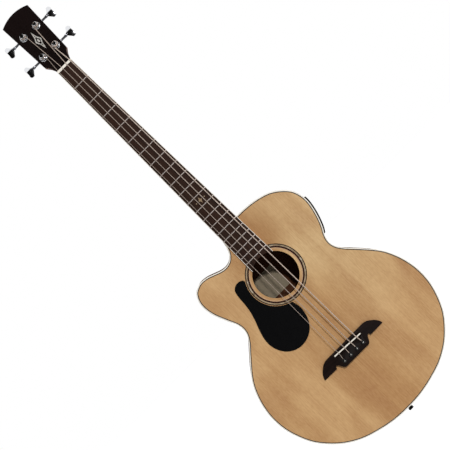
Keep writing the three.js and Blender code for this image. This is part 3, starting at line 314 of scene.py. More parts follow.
class BassFinishes(bpy.types.PropertyGroup):
    """Colours of the finishes"""

    spruce_light: tone("Spruce, light", "Wide grain of the soundboard", 227, 194, 143)
    spruce_dark: tone("Spruce, dark", "Narrow grain of the soundboard", 189, 148, 98)
    spruce_warm: tone("Spruce, warm", "Warm bands of the soundboard", 162, 110, 64)
    bracing: tone("Bracing", "Raw spruce inside the box", 214, 187, 143)
    mahogany_light: tone("Mahogany, light", "Light figure of the back, side and neck", 112, 62, 37)
    mahogany_dark: tone("Mahogany, dark", "Dark figure of the back, side and neck", 72, 37, 22)
    raw_light: tone("Raw mahogany, light", "Light figure of the bare wood inside", 84, 50, 30)
    raw_dark: tone("Raw mahogany, dark", "Dark figure of the bare wood inside", 52, 29, 17)
    rosewood_light: tone("Rosewood, light", "Light figure of the fingerboard", 58, 35, 24)
    rosewood_dark: tone("Rosewood, dark", "Dark figure of the fingerboard", 27, 15, 10)
    bridge_light: tone("Bridge, light", "Light figure of the bridge", 32, 20, 17)
    bridge_dark: tone("Bridge, dark", "Dark figure of the bridge", 13, 8, 7)
    overlay: tone("Overlay", "Black gloss of the headstock", 24, 15, 14)
    plastic: tone("Plastic", "Black of the pickguard and the preamp", 9, 9, 10)
    window: tone("Window", "Dark window of the tuner's display", 30, 34, 40)
    lamp: tone("Lamp", "Small lamp beside the display", 150, 30, 24)
    ivory: tone("Ivory", "Bindings, nut and saddle", 242, 235, 222)
    purfling: tone("Purfling", "Dark lines beside the bindings", 18, 13, 11)
    rosette_brown: tone("Rosette, brown", "Inner ring of the rosette", 40, 14, 9)
    rosette_tan: tone("Rosette, tan", "Wooden ring of the rosette", 190, 152, 114)
    chrome: tone("Chrome", "Tuners and strap button", 230, 231, 234)
    dark_chrome: tone("Dark chrome", "Shafts of the tuner keys", 92, 92, 96)
    steel: tone("Steel", "Truss rod", 140, 141, 144)
    fret_metal: tone("Frets", "Nickel silver of the frets", 168, 158, 152)
    string_metal: tone("Strings", "Wound strings", 192, 174, 160)
    paper: tone("Label", "Plain paper label", 138, 126, 106)


class BassStageSettings(bpy.types.PropertyGroup):
    """Camera, lamps and floor"""

    distance: length("Distance", "Camera's distance", 4000)
    aim_x: length("Aim across", "Where the camera aims, across", -1.05)
    aim_z: length("Aim along", "Where the camera aims, along the neck", -496.5)
    roll: angle("Roll", "How far the guitar leans in the picture", 45.41)
    lens: number("Lens", "Focal length in millimetres", 144.57, "CAMERA")
    key: number("Key", "Strength of the key lamp", 1.75)
    key_size: angle("Key size", "How wide the key lamp looks", 3)
    fill: number("Fill", "Strength of the world's soft light", 0.36)
    card_distance: length("Cards", "Dark cards' distance before and behind the guitar", 5000)
    card_size: length("Card size", "Width of the front card", 20000)
    card_lift: length("Card lift", "Height of the front card's middle", -4900)
    floor_drop: length("Floor", "Height of the floor", -1900)
    floor_size: length("Floor size", "Width of the floor", 60000)


# Lines and outlines

def smooth_line(points, steps):
    """A line that runs smoothly through points, with a number of steps between each two."""
    places = [Vector(p) for p in points]
    ends = [2 * places[0] - places[1], *places, 2 * places[-1] - places[-2]]
    line = []
    for a, b, c, d in zip(ends, ends[1:], ends[2:], ends[3:]):
        before, here, after = (math.sqrt((q - p).length) for p, q in ((a, b), (b, c), (c, d)))
        leave = ((b - a) / before - (c - a) / (before + here) + (c - b) / here) * here
        reach = ((c - b) / here - (d - b) / (here + after) + (d - c) / after) * here
        for i in range(steps):
            t = i / steps
            line.append(
                (2 * t**3 - 3 * t**2 + 1) * b + (t**3 - 2 * t**2 + t) * leave
                + (3 * t**2 - 2 * t**3) * c + (t**3 - t**2) * reach
            )
    line.append(places[-1])
    return line


def inset(points, distance):
    """A closed outline moved inwards. It runs clockwise from the front."""
    moved = []
    for before, here, after in zip(points[-1:] + points[:-1], points, points[1:] + points[:1]):
        came, goes = (here - before).normalized(), (after - here).normalized()
        inward = Vector((came.y + goes.y, -came.x - goes.x)).normalized()
        moved.append(here + inward * (distance / inward.dot(Vector((goes.y, -goes.x)))))
    return moved


def ring(radius, centre=(0, 0), steps=96):
    """The points of a circle or of a regular shape."""
    turn = 2 * math.pi / steps
    return [Vector((centre[0] + radius * math.cos(i * turn), centre[1] + radius * math.sin(i * turn)))
            for i in range(steps)]


def table_value(table, place, column):
    """A column of a table, read smoothly at a place along its first column."""
    line = smooth_line([(row[0], row[column]) for row in table], 6)
    for a, b in zip(line, line[1:]):
        if place <= b.x:
            return a.y + (b.y - a.y) * max(place - a.x, 0) / max(b.x - a.x, 1e-9)
    return line[-1].y


def fret_place(fret):
    """Where a fret lies along the neck, from the nut down."""
    neck = bpy.context.scene.bass_neck
    return -neck.scale * (1 - 2 ** (-fret / 12))


def body_top():
    """Where the body's upper edge lies, at its fret."""
    return fret_place(bpy.context.scene.bass_neck.body_fret)


def heel_foot():
    """Where the heel stands against the body, clear of its top."""
    return body_top() + AIR


def hole_centre():
    """Where the soundhole's centre lies along the neck."""
    return body_top() - bpy.context.scene.bass_body.hole_place


def board_end():
    """Where the fingerboard's corners meet the soundhole."""
    body, neck = bpy.context.scene.bass_body, bpy.context.scene.bass_neck
    return hole_centre() + math.sqrt(body.hole_radius**2 - (neck.end_width / 2) ** 2)


def board_width(place):
    """The fingerboard's width at a place along the neck."""
    neck = bpy.context.scene.bass_neck
    return neck.nut_width + (neck.end_width - neck.nut_width) * place / board_end()


def body_outline():
    """The body's outline as (x, z) points, from the heel's right corner clockwise to its left corner."""
    body, neck = bpy.context.scene.bass_body, bpy.context.scene.bass_neck
    top = body_top()

    def on_side(shares, side):
        return [(body.shift + side * body.width / 2 * out, top - body.length * down) for out, down in shares]

    half = neck.heel_width / 2
    through = [
        (half, top), *on_side(SHOULDER_SHARES, 1), *on_side(LOWER_BOUT_SHARES, 1),
        (body.shift, top - body.length), *on_side(LOWER_BOUT_SHARES, -1)[::-1],
        *on_side(CUTAWAY_SHARES, -1), (-half, top),
    ]
    line = smooth_line(through, 7)
    corner, clear = line[-1], 3 * body.wall
    line = [p for p in line[:-1] if (p - corner).length > clear] + [corner]
    low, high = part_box("top_binding")
    return [Vector((min(max(p.x, low.x), high.x), max(p.y, low.z))) for p in line]


def back_face(x, z):
    """Depth of the arched back's outer face."""
    body = bpy.context.scene.bass_body
    along = z - (body_top() - body.crown)
    return body.depth - (x**2 + along**2) / (2 * body.arch)


# Meshes

def linked(name, data):
    """A new object in the scene."""
    item = bpy.data.objects.new(name, data)
    bpy.context.scene.collection.objects.link(item)
    return item


def add_piece(name, mesh, finish, body=GUITAR, replaces=()):
    """Puts a mesh in the scene with its finish, on the CAD body that it moves with."""
    mesh.name = name
    piece = linked(name, mesh)
    mesh.materials.clear()
    mesh.materials.append(material_for(finish))
    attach(piece, body)
    if replaces:
        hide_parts(*replaces)
    return piece


def mesh_of(bm, sharp=SMOOTH_ANGLE):
    """A mesh from an edit mesh, smooth but for edges that turn by more than an angle in degrees."""
    bmesh.ops.recalc_face_normals(bm, faces=bm.faces)
    mesh = bpy.data.meshes.new("mesh")
    bm.to_mesh(mesh)
    bm.free()
    mesh.shade_smooth()
    mesh.set_sharp_from_angle(angle=math.radians(sharp))
    return mesh


def plate(outline, front, back, holes=()):
    """A flat plate of (x, z) points between two depths."""
    bm = bmesh.new()
    for loop in (outline, *holes):
        corners = [bm.verts.new((p[0], front, p[1])) for p in loop]
        for a, b in zip(corners, corners[1:] + corners[:1]):
            bm.edges.new((a, b))
    bmesh.ops.triangle_fill(bm, use_beauty=True, use_dissolve=False, edges=bm.edges[:])
    grown = bmesh.ops.extrude_face_region(bm, geom=bm.faces[:])
    moved = [v for v in grown["geom"] if isinstance(v, bmesh.types.BMVert)]
    bmesh.ops.translate(bm, verts=moved, vec=(0, back - front, 0))
    return mesh_of(bm)


def slab(outline, low, high, place, holes=()):
    """A plate of (x, y) points between two heights in a frame of its own."""
    mesh = plate(outline, -high, -low, holes)
    mesh.transform(place @ Matrix.Rotation(math.radians(-90), 4, "X"))
    return mesh


def skin(rings, closed=False, sharp=SMOOTH_ANGLE):
    """A skin over rings that all have the same number of points. Closed ones meet end to end."""
    bm = bmesh.new()
    rows = [[bm.verts.new(p) for p in points] for points in rings]
    pairs = list(zip(rows, rows[1:]))
    if closed:
        pairs.append((rows[-1], rows[0]))
    else:
        bm.faces.new(rows[0])
        bm.faces.new(rows[-1])
    for low, high in pairs:
        for i in range(len(low)):
            k = (i + 1) % len(low)
            bm.faces.new((low[i], low[k], high[k], high[i]))
    return mesh_of(bm, sharp)


def turned(profile, place, steps=40, sharp=SMOOTH_ANGLE):
    """A turned piece about its frame's Z, from (radius, height) points."""
    bm = bmesh.new()
    rows = []
    for radius, height in profile:
        if radius < 1e-7:
            rows.append([bm.verts.new((0, 0, height))] * steps)
        else:
            rows.append([bm.verts.new((p.x, p.y, height)) for p in ring(radius, steps=steps)])
    closed = rows[0][0] is not rows[0][1] or rows[-1][0] is not rows[-1][1]
    pairs = list(zip(rows, rows[1:])) + ([(rows[-1], rows[0])] if closed else [])
    for low, high in pairs:
        for i in range(steps):
            k = (i + 1) % steps
            corners = list(dict.fromkeys((low[i], low[k], high[k], high[i])))
            if len(corners) > 2:
                bm.faces.new(corners)
    mesh = mesh_of(bm, sharp)
    mesh.transform(place)
    return mesh


def finished_mesh(scratch):
    """The mesh of an object with its modifiers or its curve worked out. The object is removed."""
    depsgraph = bpy.context.evaluated_depsgraph_get()
    mesh = bpy.data.meshes.new_from_object(scratch.evaluated_get(depsgraph))
    bpy.data.objects.remove(scratch)
    return mesh


def modified(mesh, kind, **settings):
    """The mesh after one modifier with the given settings."""
    scratch = linked("scratch", mesh)
    modifier = scratch.modifiers.new("shape", kind)
    for key, value in settings.items():
        setattr(modifier, key, value)
    shaped = finished_mesh(scratch)
    bpy.data.meshes.remove(mesh)
    if not shaped.polygons:
        raise ValueError(f"a {kind.lower()} left nothing of its piece")
    return shaped


def rounded(mesh, width, segments=3, turn=40):
    """Rounds the edges that turn by more than an angle in degrees."""
    return modified(mesh, "BEVEL", width=width, segments=segments, limit_method="ANGLE",
                    angle_limit=math.radians(turn), harden_normals=True, use_clamp_overlap=True)


def combined(mesh, tools, operation):
    """The mesh after a boolean with each tool. The tools are used up."""
    for tool in tools:
        helper = linked("helper", tool)
        mesh = modified(mesh, "BOOLEAN", object=helper, operation=operation, solver="EXACT")
        bpy.data.objects.remove(helper)
        bpy.data.meshes.remove(tool)
    mesh.set_sharp_from_angle(angle=math.radians(SMOOTH_ANGLE))
    return mesh


def cut(mesh, *tools):
    """The mesh without what the tools take up."""
    return combined(mesh, tools, "DIFFERENCE")


def meet(mesh, tool):
    """What a mesh and a tool have in common."""
    return combined(mesh, [tool], "INTERSECT")


def even(mesh):
    """Shades a mesh by its faces' sizes, so that large flat ones look flat beside rounded edges."""
    return modified(mesh, "WEIGHTED_NORMAL", keep_sharp=True)


def joined(*meshes):
    """Several meshes as the parts of one."""
    bm = bmesh.new()
    for mesh in meshes:
        bm.from_mesh(mesh)
        bpy.data.meshes.remove(mesh)
    return mesh_of(bm)


def tube(path, radius):
    """A round rod along a path, with an evened section and closed ends."""
    curve = bpy.data.curves.new("path", "CURVE")
    curve.dimensions = "3D"
    curve.bevel_depth = radius
    curve.bevel_resolution = 2
    curve.use_fill_caps = True
    spline = curve.splines.new("POLY")
    spline.points.add(len(path) - 1)
    for point, place in zip(spline.points, path):
        point.co = (*place, 1)
    mesh = finished_mesh(linked("scratch", curve))
    bpy.data.curves.remove(curve)
    mesh.materials.clear()
    mesh.shade_smooth()
    return mesh


def oblong(across, along):
    """The corners of an oblong between pairs of bounds."""
    (left, right), (low, high) = across, along
    return [(left, low), (right, low), (right, high), (left, high)]


def block(x, y, z):
    """A box between pairs of bounds."""
    return plate(oblong(x, z), *y)


def rod(radius, low, high, place, steps):
    """A round rod along its frame's Z, between two heights."""
    return turned([(0, low), (radius, low), (radius, high), (0, high)], place, steps)


def along_axis(place, direction):
    """A frame at a place, whose Z points along a direction."""
    return Matrix.Translation(place) @ Vector(direction).to_track_quat("Z", "Y").to_matrix().to_4x4()


def head_frame():
    """The headstock's frame: x across, y along its face from the nut's far edge, z out of its face."""
    neck = bpy.context.scene.bass_neck
    lean = Matrix.Rotation(math.pi / 2 - neck.tilt, 4, "X")
    return Matrix.Translation((0, 0, neck.nut_length)) @ lean


# Materials

def set_inputs(node, inputs):
    """Sets a node's inputs by name or number, from values or from other nodes' results."""
    for key, value in inputs.items():
        socket = node.inputs[key]
        if isinstance(value, bpy.types.NodeSocket):
            node.id_data.links.new(value, socket)
        else:
            socket.default_value = value


def added(nodes, kind, inputs=None, **settings):
    """A new node with its settings and its inputs."""
    node = nodes.new(f"ShaderNode{kind}")
    for key, value in settings.items():
        setattr(node, key, value)
    set_inputs(node, inputs or {})
    return node


def fresh_material(name):
    """A new material with its nodes and its main shader."""
    material = bpy.data.materials.new(name)
    material.use_nodes = True
    nodes = material.node_tree.nodes
    return material, nodes, nodes["Principled BSDF"]


def own_place(nodes):
    """The place in the piece's own coordinates."""
    return added(nodes, "TexCoord").outputs["Object"]


def sum_of(nodes, operation, *values):
    """What an operation makes of its values."""
    return added(nodes, "Math", dict(enumerate(values)), operation=operation).outputs[0]


def stretched_noise(nodes, scale, detail=3, mirrored=False, distortion=0.0):
    """Noise over the piece's own coordinates, stretched by a scale for each axis, in waves a metre."""
    place = own_place(nodes)
    if mirrored:
        place = added(nodes, "VectorMath", {0: place}, operation="ABSOLUTE").outputs[0]
    place = added(nodes, "Mapping", {"Vector": place, "Scale": scale}).outputs["Vector"]
    inputs = {"Vector": place, "Scale": 1, "Detail": detail, "Distortion": distortion}
    return added(nodes, "TexNoise", inputs).outputs["Fac"]


def ramp(nodes, source, *stops):
    """Colours along a value, from (place, colour) stops."""
    node = added(nodes, "ValToRGB", {"Fac": source})
    elements = node.color_ramp.elements
    while len(elements) < len(stops):
        elements.new(0.5)
    for element, (place, colour) in zip(elements, stops):
        element.position = place
        element.color = (*colour, 1)
    return node.outputs["Color"]


def mixed(nodes, first, second, share, kind="MIX"):
    """Two colours mixed by a share."""
    inputs = {"Factor": share, "A": first, "B": second}
    return added(nodes, "Mix", inputs, data_type="RGBA", blend_type=kind).outputs["Result"]


def bump(nodes, shader, source, height, strength=0.3):
    """Raises a shader's surface by a value, to a height in metres."""
    inputs = {"Strength": strength, "Distance": height, "Height": source}
    set_inputs(shader, {"Normal": added(nodes, "Bump", inputs).outputs["Normal"]})


def wood(name, light, dark, fine, broad, roughness, shine=0.4, coat=0.0, mirrored=False, relief=0.0):
    """A wood whose fine grain and broad figure are noises stretched by scales in waves a metre."""
    material, nodes, shader = fresh_material(name)
    grain = stretched_noise(nodes, fine, 4, mirrored)
    figure = stretched_noise(nodes, broad, 2, mirrored, 0.6)
    tones = [ramp(nodes, noise, (0.3, dark), (0.7, light)) for noise in (grain, figure)]
    set_inputs(shader, {
        "Base Color": mixed(nodes, *tones, 0.4), "Roughness": roughness, "Specular IOR Level": shine,
        "Coat Weight": coat, "Coat Roughness": 0.08,
    })
    if relief:
        bump(nodes, shader, grain, relief)
    return material


def gloss_spruce(tones):
    """Bookmatched spruce: fine grain, soft bands along it, cloudy patches, a painted pool of light round
    one broad place that darkens away from it, and painted shade along the middle, where the fingerboard
    and strings run: a darker, warmer strip with darker places before the bridge and beside the neck."""
    material, nodes, shader = fresh_material("gloss_spruce")
    light, dark, warm = tones.spruce_light, tones.spruce_dark, tones.spruce_warm
    grain = stretched_noise(nodes, (620, 300, 7), 5, mirrored=True)
    bands = stretched_noise(nodes, (24, 12, 1.7), 3, distortion=1.1)
    patches = stretched_noise(nodes, (11, 11, 7), 7, distortion=0.7)
    flecks = stretched_noise(nodes, (380, 380, 90), 5, distortion=0.3)
    grain = ramp(nodes, grain, (0.34, dark), (0.62, light))
    bands = ramp(nodes, bands, (0.3, warm), (0.46, dark), (0.66, light))
    patches = ramp(nodes, patches, (0.28, warm), (0.46, dark), (0.68, light))
    flecks = ramp(nodes, flecks, (0.38, dark), (0.6, light))
    along, across = mixed(nodes, grain, bands, 0.45), mixed(nodes, patches, flecks, 0.38)
    place = own_place(nodes)

    def round_tint(x, z, near, far):
        """A tint that changes with the distance from a place on the board."""
        away = added(nodes, "VectorMath", {0: place, 1: (x, 0, z)}, operation="DISTANCE")
        return ramp(nodes, away.outputs["Value"], near, far)

    plain = (1, 1, 1)
    # Painted light: a broad pool of light round one place on the board, darker away from it.
    shade = round_tint(0.1, -0.66, (0.02, plain), (0.26, (0.906, 0.814, 0.741)))
    # Painted shade along the middle, where the fingerboard and strings run: darker places before the bridge
    # and beside the neck's end, and a darker strip whose edge wanders.
    painted_shade_before_bridge = round_tint(0.02, -0.77, (0.02, (0.86, 0.78, 0.7)), (0.085, plain))
    painted_shade_beside_neck = round_tint(0.02, -0.57, (0.035, (0.76, 0.66, 0.56)), (0.085, plain))
    side = sum_of(nodes, "ABSOLUTE", added(nodes, "SeparateXYZ", {0: place}).outputs["X"])
    drift = sum_of(nodes, "MULTIPLY_ADD", stretched_noise(nodes, (16, 16, 6)), 0.16, side)
    middle = ramp(nodes, drift, (0.08, (0.9, 0.85, 0.79)), (0.125, (0.91, 0.87, 0.82)), (0.175, plain))
    base = mixed(nodes, along, across, 0.55)
    # The wood's colour, times the painted light and shade.
    for tint in (shade, middle, painted_shade_before_bridge, painted_shade_beside_neck):
        base = mixed(nodes, base, tint, 1.0, "MULTIPLY")
    set_inputs(shader, {
        "Base Color": base, "Roughness": 0.36, "Specular IOR Level": 0.35, "Coat Weight": 0.25,
        "Coat Roughness": 0.1,
    })
    return material


def worn(name, colour, roughness, spread=0.12, metallic=0.0, scale=60, shine=0.5):
    """A near-even finish whose tone drifts slightly over the piece."""
    material, nodes, shader = fresh_material(name)
    drift = stretched_noise(nodes, (scale, scale, scale))
    low = tuple(c * (1 - spread) for c in colour)
    high = tuple(min(c * (1 + spread), 1) for c in colour)
    set_inputs(shader, {
        "Base Color": ramp(nodes, drift, (0.3, low), (0.7, high)), "Roughness": roughness,
        "Metallic": metallic, "Specular IOR Level": shine,
    })
    return material


def shell(name, chips, chip_tones, line_tones, share, surface):
    """Chips of shell side by side, so many a metre, crossed by fine lines."""
    material, nodes, shader = fresh_material(name)
    cells = added(nodes, "TexVoronoi", {"Vector": own_place(nodes), "Scale": chips}).outputs["Color"]
    red = added(nodes, "SeparateColor", {"Color": cells}).outputs["Red"]
    chips = ramp(nodes, red, *((place, linear(*colour)) for place, colour in chip_tones))
    lines = stretched_noise(nodes, (420, 420, 420), 2, distortion=1.5)
    low, high = (linear(*colour) for colour in line_tones)
    lines = ramp(nodes, lines, (0.35, low), (0.65, high))
    set_inputs(shader, {"Base Color": mixed(nodes, chips, lines, share), **surface})
    return material


def rosette_shell():
    """Abalone of the rosette, in short dark and pale chips."""
    chips = [(0.0, (132, 108, 80)), (0.3, (186, 164, 134)), (0.5, (104, 86, 64)),
             (0.72, (170, 150, 122)), (0.9, (140, 124, 100)), (1.0, (214, 202, 180))]
    surface = {"Roughness": 0.3, "Specular IOR Level": 0.2}
    return shell("rosette_shell", 110, chips, [(96, 76, 54), (186, 164, 134)], 0.35, surface)


def pearl_shell():
    """Pearl in pale grey, green and pink."""
    chips = [(0.0, (140, 140, 132)), (0.3, (206, 202, 194)), (0.55, (160, 160, 158)),
             (0.75, (216, 206, 198)), (1.0, (146, 150, 138))]
    surface = {"Roughness": 0.22, "Coat Weight": 0.5}
    return shell("pearl_shell", 190, chips, [(132, 130, 124), (232, 228, 220)], 0.45, surface)


def wound_string(colour):
    """A metal string whose wrap shows as fine bands along it."""
    material, nodes, shader = fresh_material("wound_string")
    inputs = {"Vector": own_place(nodes), "Scale": 320}
    wraps = added(nodes, "TexWave", inputs, bands_direction="Z").outputs["Fac"]
    dark = tuple(c * 0.6 for c in colour)
    bands = ramp(nodes, wraps, (0.1, dark), (0.6, colour))
    set_inputs(shader, {"Base Color": bands, "Metallic": 0.4, "Roughness": 0.42})
    bump(nodes, shader, wraps, 0.00015, 0.5)
    return material


MATERIALS = {}


def material_for(key):
    """A finish by name, made at its first use."""
    if key not in MATERIALS:
        MATERIALS[key] = make_finish(key, bpy.context.scene.bass_finishes)
    return MATERIALS[key]


def make_finish(key, tones):
    """Makes a finish with the colours that the user has set."""
    makers = {
        "spruce": lambda: gloss_spruce(tones),
        "bracing": lambda: wood("raw_spruce", tones.bracing, [c * 0.8 for c in tones.bracing],
                                (500, 500, 30), (40, 40, 6), 0.75, shine=0.2),
        "mahogany": lambda: wood("gloss_mahogany", tones.mahogany_light, tones.mahogany_dark,
                                 (420, 420, 9), (34, 34, 1.6), 0.38, shine=0.25, coat=0.08, relief=0.00005),
        "back": lambda: wood("gloss_mahogany_back", tones.mahogany_light, tones.mahogany_dark,
                             (420, 60, 6), (26, 10, 1.3), 0.34, shine=0.25, coat=0.12, mirrored=True),
        "strip": lambda: wood("back_strip", tones.rosewood_light, tones.rosewood_dark,
                              (420, 420, 60), (60, 60, 20), 0.3, coat=0.3),
        "raw_mahogany": lambda: wood("raw_mahogany", tones.raw_light, tones.raw_dark,
                                     (420, 60, 6), (26, 10, 1.3), 0.8, shine=0.1, mirrored=True),
        "rosewood": lambda: wood("oiled_rosewood", tones.rosewood_light, tones.rosewood_dark,
                                 (520, 520, 12), (60, 60, 3), 0.55, shine=0.08, relief=0.00004),
        "bridge": lambda: wood("bridge_rosewood", tones.bridge_light, tones.bridge_dark,
                               (12, 420, 420), (3, 60, 60), 0.28, shine=0.1, relief=0.00002),
        "overlay": lambda: wood("black_overlay", tones.overlay, [c * 0.55 for c in tones.overlay],
                                (300, 300, 6), (30, 30, 3), 0.16, shine=0.35, coat=0.15),
        "plastic": lambda: worn("black_plastic", tones.plastic, 0.5, shine=0.15),
        "guard": lambda: worn("black_pickguard", tones.plastic, 0.22, shine=0.15),
        "gloss": lambda: worn("black_gloss", tones.plastic, 0.16, shine=0.3),
        "ivory": lambda: worn("ivory", tones.ivory, 0.4, spread=0.04, scale=45, shine=0.35),
        "purfling": lambda: worn("dark_purfling", tones.purfling, 0.4, shine=0.3),
        "rosette_brown": lambda: worn("rosette_brown", tones.rosette_brown, 0.36, scale=300, shine=0.1),
        "rosette_black": lambda: worn("rosette_black", tones.purfling, 0.36, spread=0.9, scale=420,
                                      shine=0.1),
        "rosette_tan": lambda: worn("rosette_tan", tones.rosette_tan, 0.36, scale=300, shine=0.3),
        "rosette_shell": rosette_shell,
        "pearl": pearl_shell,
        "chrome": lambda: worn("chrome", tones.chrome, 0.08, spread=0.03, metallic=1.0),
        "dark_chrome": lambda: worn("dark_chrome", tones.dark_chrome, 0.2, spread=0.03, metallic=1.0),
        "steel": lambda: worn("steel", tones.steel, 0.36, metallic=1.0),
        "fret_metal": lambda: worn("nickel_silver", tones.fret_metal, 0.42, spread=0.05, metallic=0.75),
        "string": lambda: wound_string(tones.string_metal),
        "paper": lambda: worn("label_paper", tones.paper, 0.8, spread=0.07, scale=120, shine=0.2),
        "window": lambda: worn("display_window", tones.window, 0.1),
        "lamp": lambda: worn("display_lamp", tones.lamp, 0.3),
    }
    return makers[key]()


# Routes and places shared by several pieces

def bass_strings():
    """The four strings, from the thinnest on the viewer's left."""
    sizes, tuner = bpy.context.scene.bass_strings, bpy.context.scene.bass_tuners
    thickness = {"g": sizes.thin, "d": sizes.light, "a": sizes.heavy, "e": sizes.thick}
    reach = {"g": tuner.near, "d": tuner.far, "a": tuner.far, "e": tuner.near}
    return [
        {"name": name, "radius": thickness[name] / 2, "side": -1 if share < 0 else 1, "share": share,
         "reach": reach[name]}
        for name, share in SPREAD_SHARES.items()
    ]


def saddle_place(x):
    """Where the slanted saddle lies along the neck, at a place across it."""
    neck, sizes = bpy.context.scene.bass_neck, bpy.context.scene.bass_strings
    return -neck.scale - sizes.compensation - math.tan(sizes.slant) * x


def pin_place():
    """Where the bridge pins lie along the neck."""
    return saddle_place(0) - bpy.context.scene.bass_strings.pin_place


def bend(before, corner, after, reach, steps=6):
    """Points round a bend at a corner between two neighbours."""
    start = corner + (before - corner).normalized() * reach
    end = corner + (after - corner).normalized() * reach
    return [start * (1 - t) ** 2 + corner * 2 * t * (1 - t) + end * t**2
            for t in (i / steps for i in range(steps + 1))]


def winding(string, feed):
    """A string's turns round its post, in the headstock's frame, from where it first touches."""
    sizes, tuner = bpy.context.scene.bass_strings, bpy.context.scene.bass_tuners
    centre = Vector((string["side"] * tuner.offset, string["reach"], 0))
    radius = tuner.drum + sizes.fit + string["radius"]
    reach = feed - centre
    turn = 1 if string["side"] < 0 else -1
    start = math.atan2(reach.y, reach.x) + turn * math.acos(radius / math.hypot(reach.x, reach.y))
    foot = tuner.drum_foot + string["radius"] + sizes.fit
    pitch = 2 * string["radius"] + sizes.air
    steps = 32
    points = []
    for i in range(sizes.turns * steps + 1):
        a = start + turn * 2 * math.pi * i / steps
        points.append(centre + Vector((radius * math.cos(a), radius * math.sin(a), foot + pitch * i / steps)))
    onwards = Vector((-math.sin(start), math.cos(start), 0)) * turn
    points.append(points[-1] + onwards * 2 * string["radius"])
    return points


def string_route(string):
    """A string's route from its ball end over the saddle and the nut to its post."""
    neck, sizes = bpy.context.scene.bass_neck, bpy.context.scene.bass_strings
    radius = string["radius"]
    pin_x = sizes.pin_spread * string["share"]
    hole = pin_place() + sizes.pin_radius + sizes.fit + radius
    foot = Vector((pin_x, sizes.pin_depth + sizes.fit, hole))
    mouth = Vector((pin_x, -sizes.bridge_height - radius - sizes.fit, hole))
    saddle_x = sizes.saddle_spread * string["share"]
    saddle_top = sizes.bridge_height + sizes.saddle_proud - SADDLE_BITE
    saddle = Vector((saddle_x, -saddle_top - radius, saddle_place(saddle_x)))
    slot = neck.board + neck.fret_height + NUT_ACTION
    nut = Vector((sizes.nut_spread * string["share"], -slot - radius, neck.nut_length / 2))
    head = head_frame()
    loops = [head @ point for point in winding(string, head.inverted() @ nut)]
    return [
        foot,
        *bend(foot, mouth, saddle, 3 * MM),
        *bend(mouth, saddle, nut, 2 * radius),
        *bend(saddle, nut, loops[0], 2 * radius),
        *loops,
    ]


def rim_point(place, distance):
    """A point on the bass side at a height along the neck, moved outwards, with the way that it faces."""
    moved = [p for p in inset(body_outline(), -distance) if p.x > bpy.context.scene.bass_neck.heel_width]
    for a, b in zip(moved, moved[1:]):
        if a.y > place >= b.y:
            way = (b - a).normalized()
            spot = a + (b - a) * (a.y - place) / (a.y - b.y)
            return spot, Vector((-way.y, way.x))
    raise ValueError(f"the bass side doesn't reach {place}")


def rim_stretch(high, low, distance):
    """The bass side's points between two heights, moved outwards by a distance."""
    heel = bpy.context.scene.bass_neck.heel_width
    moved = [p for p in inset(body_outline(), -distance) if p.x > heel and low < p.y < high]
    return [rim_point(high, distance)[0], *moved, rim_point(low, distance)[0]]


def rim_block(high, low, outer, inner, depths):
    """A block that follows the bass side between two heights and two distances from it."""
    return plate([*rim_stretch(high, low, outer), *rim_stretch(high, low, inner)[::-1]], *depths)


def control_axis(name):
    """A control's frame, from the preamp's sunk floor outwards."""
    sizes = bpy.context.scene.bass_electrics
    along, across = CONTROL_PLACES[name]
    place = body_top() - sizes.top - sizes.long * along
    above = rim_point(place + sizes.knob, sizes.floor)[0]
    below = rim_point(place - sizes.knob, sizes.floor)[0]
    spot, way = (above + below) / 2, (below - above).normalized()
    depth = sizes.front + sizes.rim + (sizes.tall - 2 * sizes.rim) * across
    return along_axis((spot.x, depth, spot.y), (-way.y, 0, way.x))


def button_room(lining=0.0):
    """The round seat that lets the tuner button go in, with its spindle's hole."""
    sizes = bpy.context.scene.bass_electrics
    seat, hole, floor = sizes.button + 0.6 * MM + lining, sizes.spindle + AIR, BUTTON_SEAT - lining
    low, high = -6 * MM, 8 * MM
    profile = [(0, low), (hole, low), (hole, floor), (seat, floor), (seat, high), (0, high)]
    return turned(profile, control_axis("tuner_button"), 32)


def button_cup(lining):
    """The lining of the tuner button's seat."""
    sizes = bpy.context.scene.bass_electrics
    seat, hole = sizes.button + 0.62 * MM, sizes.spindle + AIR
    outside, bottom, mouth = seat + lining, BUTTON_SEAT - lining, -0.3 * MM
    profile = [(hole, bottom), (outside, bottom), (outside, mouth), (seat, mouth), (seat, BUTTON_SEAT),
               (hole, BUTTON_SEAT)]
    return turned(profile, control_axis("tuner_button"), 32)


def rim_band(section, behind):
    """A band round the body's front edge or its back edge, from (distance inwards, depth) points."""
    outline = body_outline()
    rings = []
    for distance, depth in section:
        moved = inset(outline, distance)
        rings.append([Vector((p.x, back_face(p.x, p.y) - depth if behind else depth, p.y)) for p in moved])
    return skin([list(points) for points in zip(*rings)], closed=True)


def half_oval(wide, long, steps):
    """Half an oval up the neck from the heel's foot, as (x, z) points."""
    foot = heel_foot()
    return [(wide * math.cos(a), foot + long * math.sin(a))
            for a in (math.pi * i / steps for i in range(steps + 1))]


def worm_place(tuner):
    """From a post's axis to its key's."""
    return tuner.gear + tuner.worm + AIR


def housing_half(tuner):
    """Half of a tuner housing's width."""
    return tuner.gear + GEAR_AIR + tuner.housing


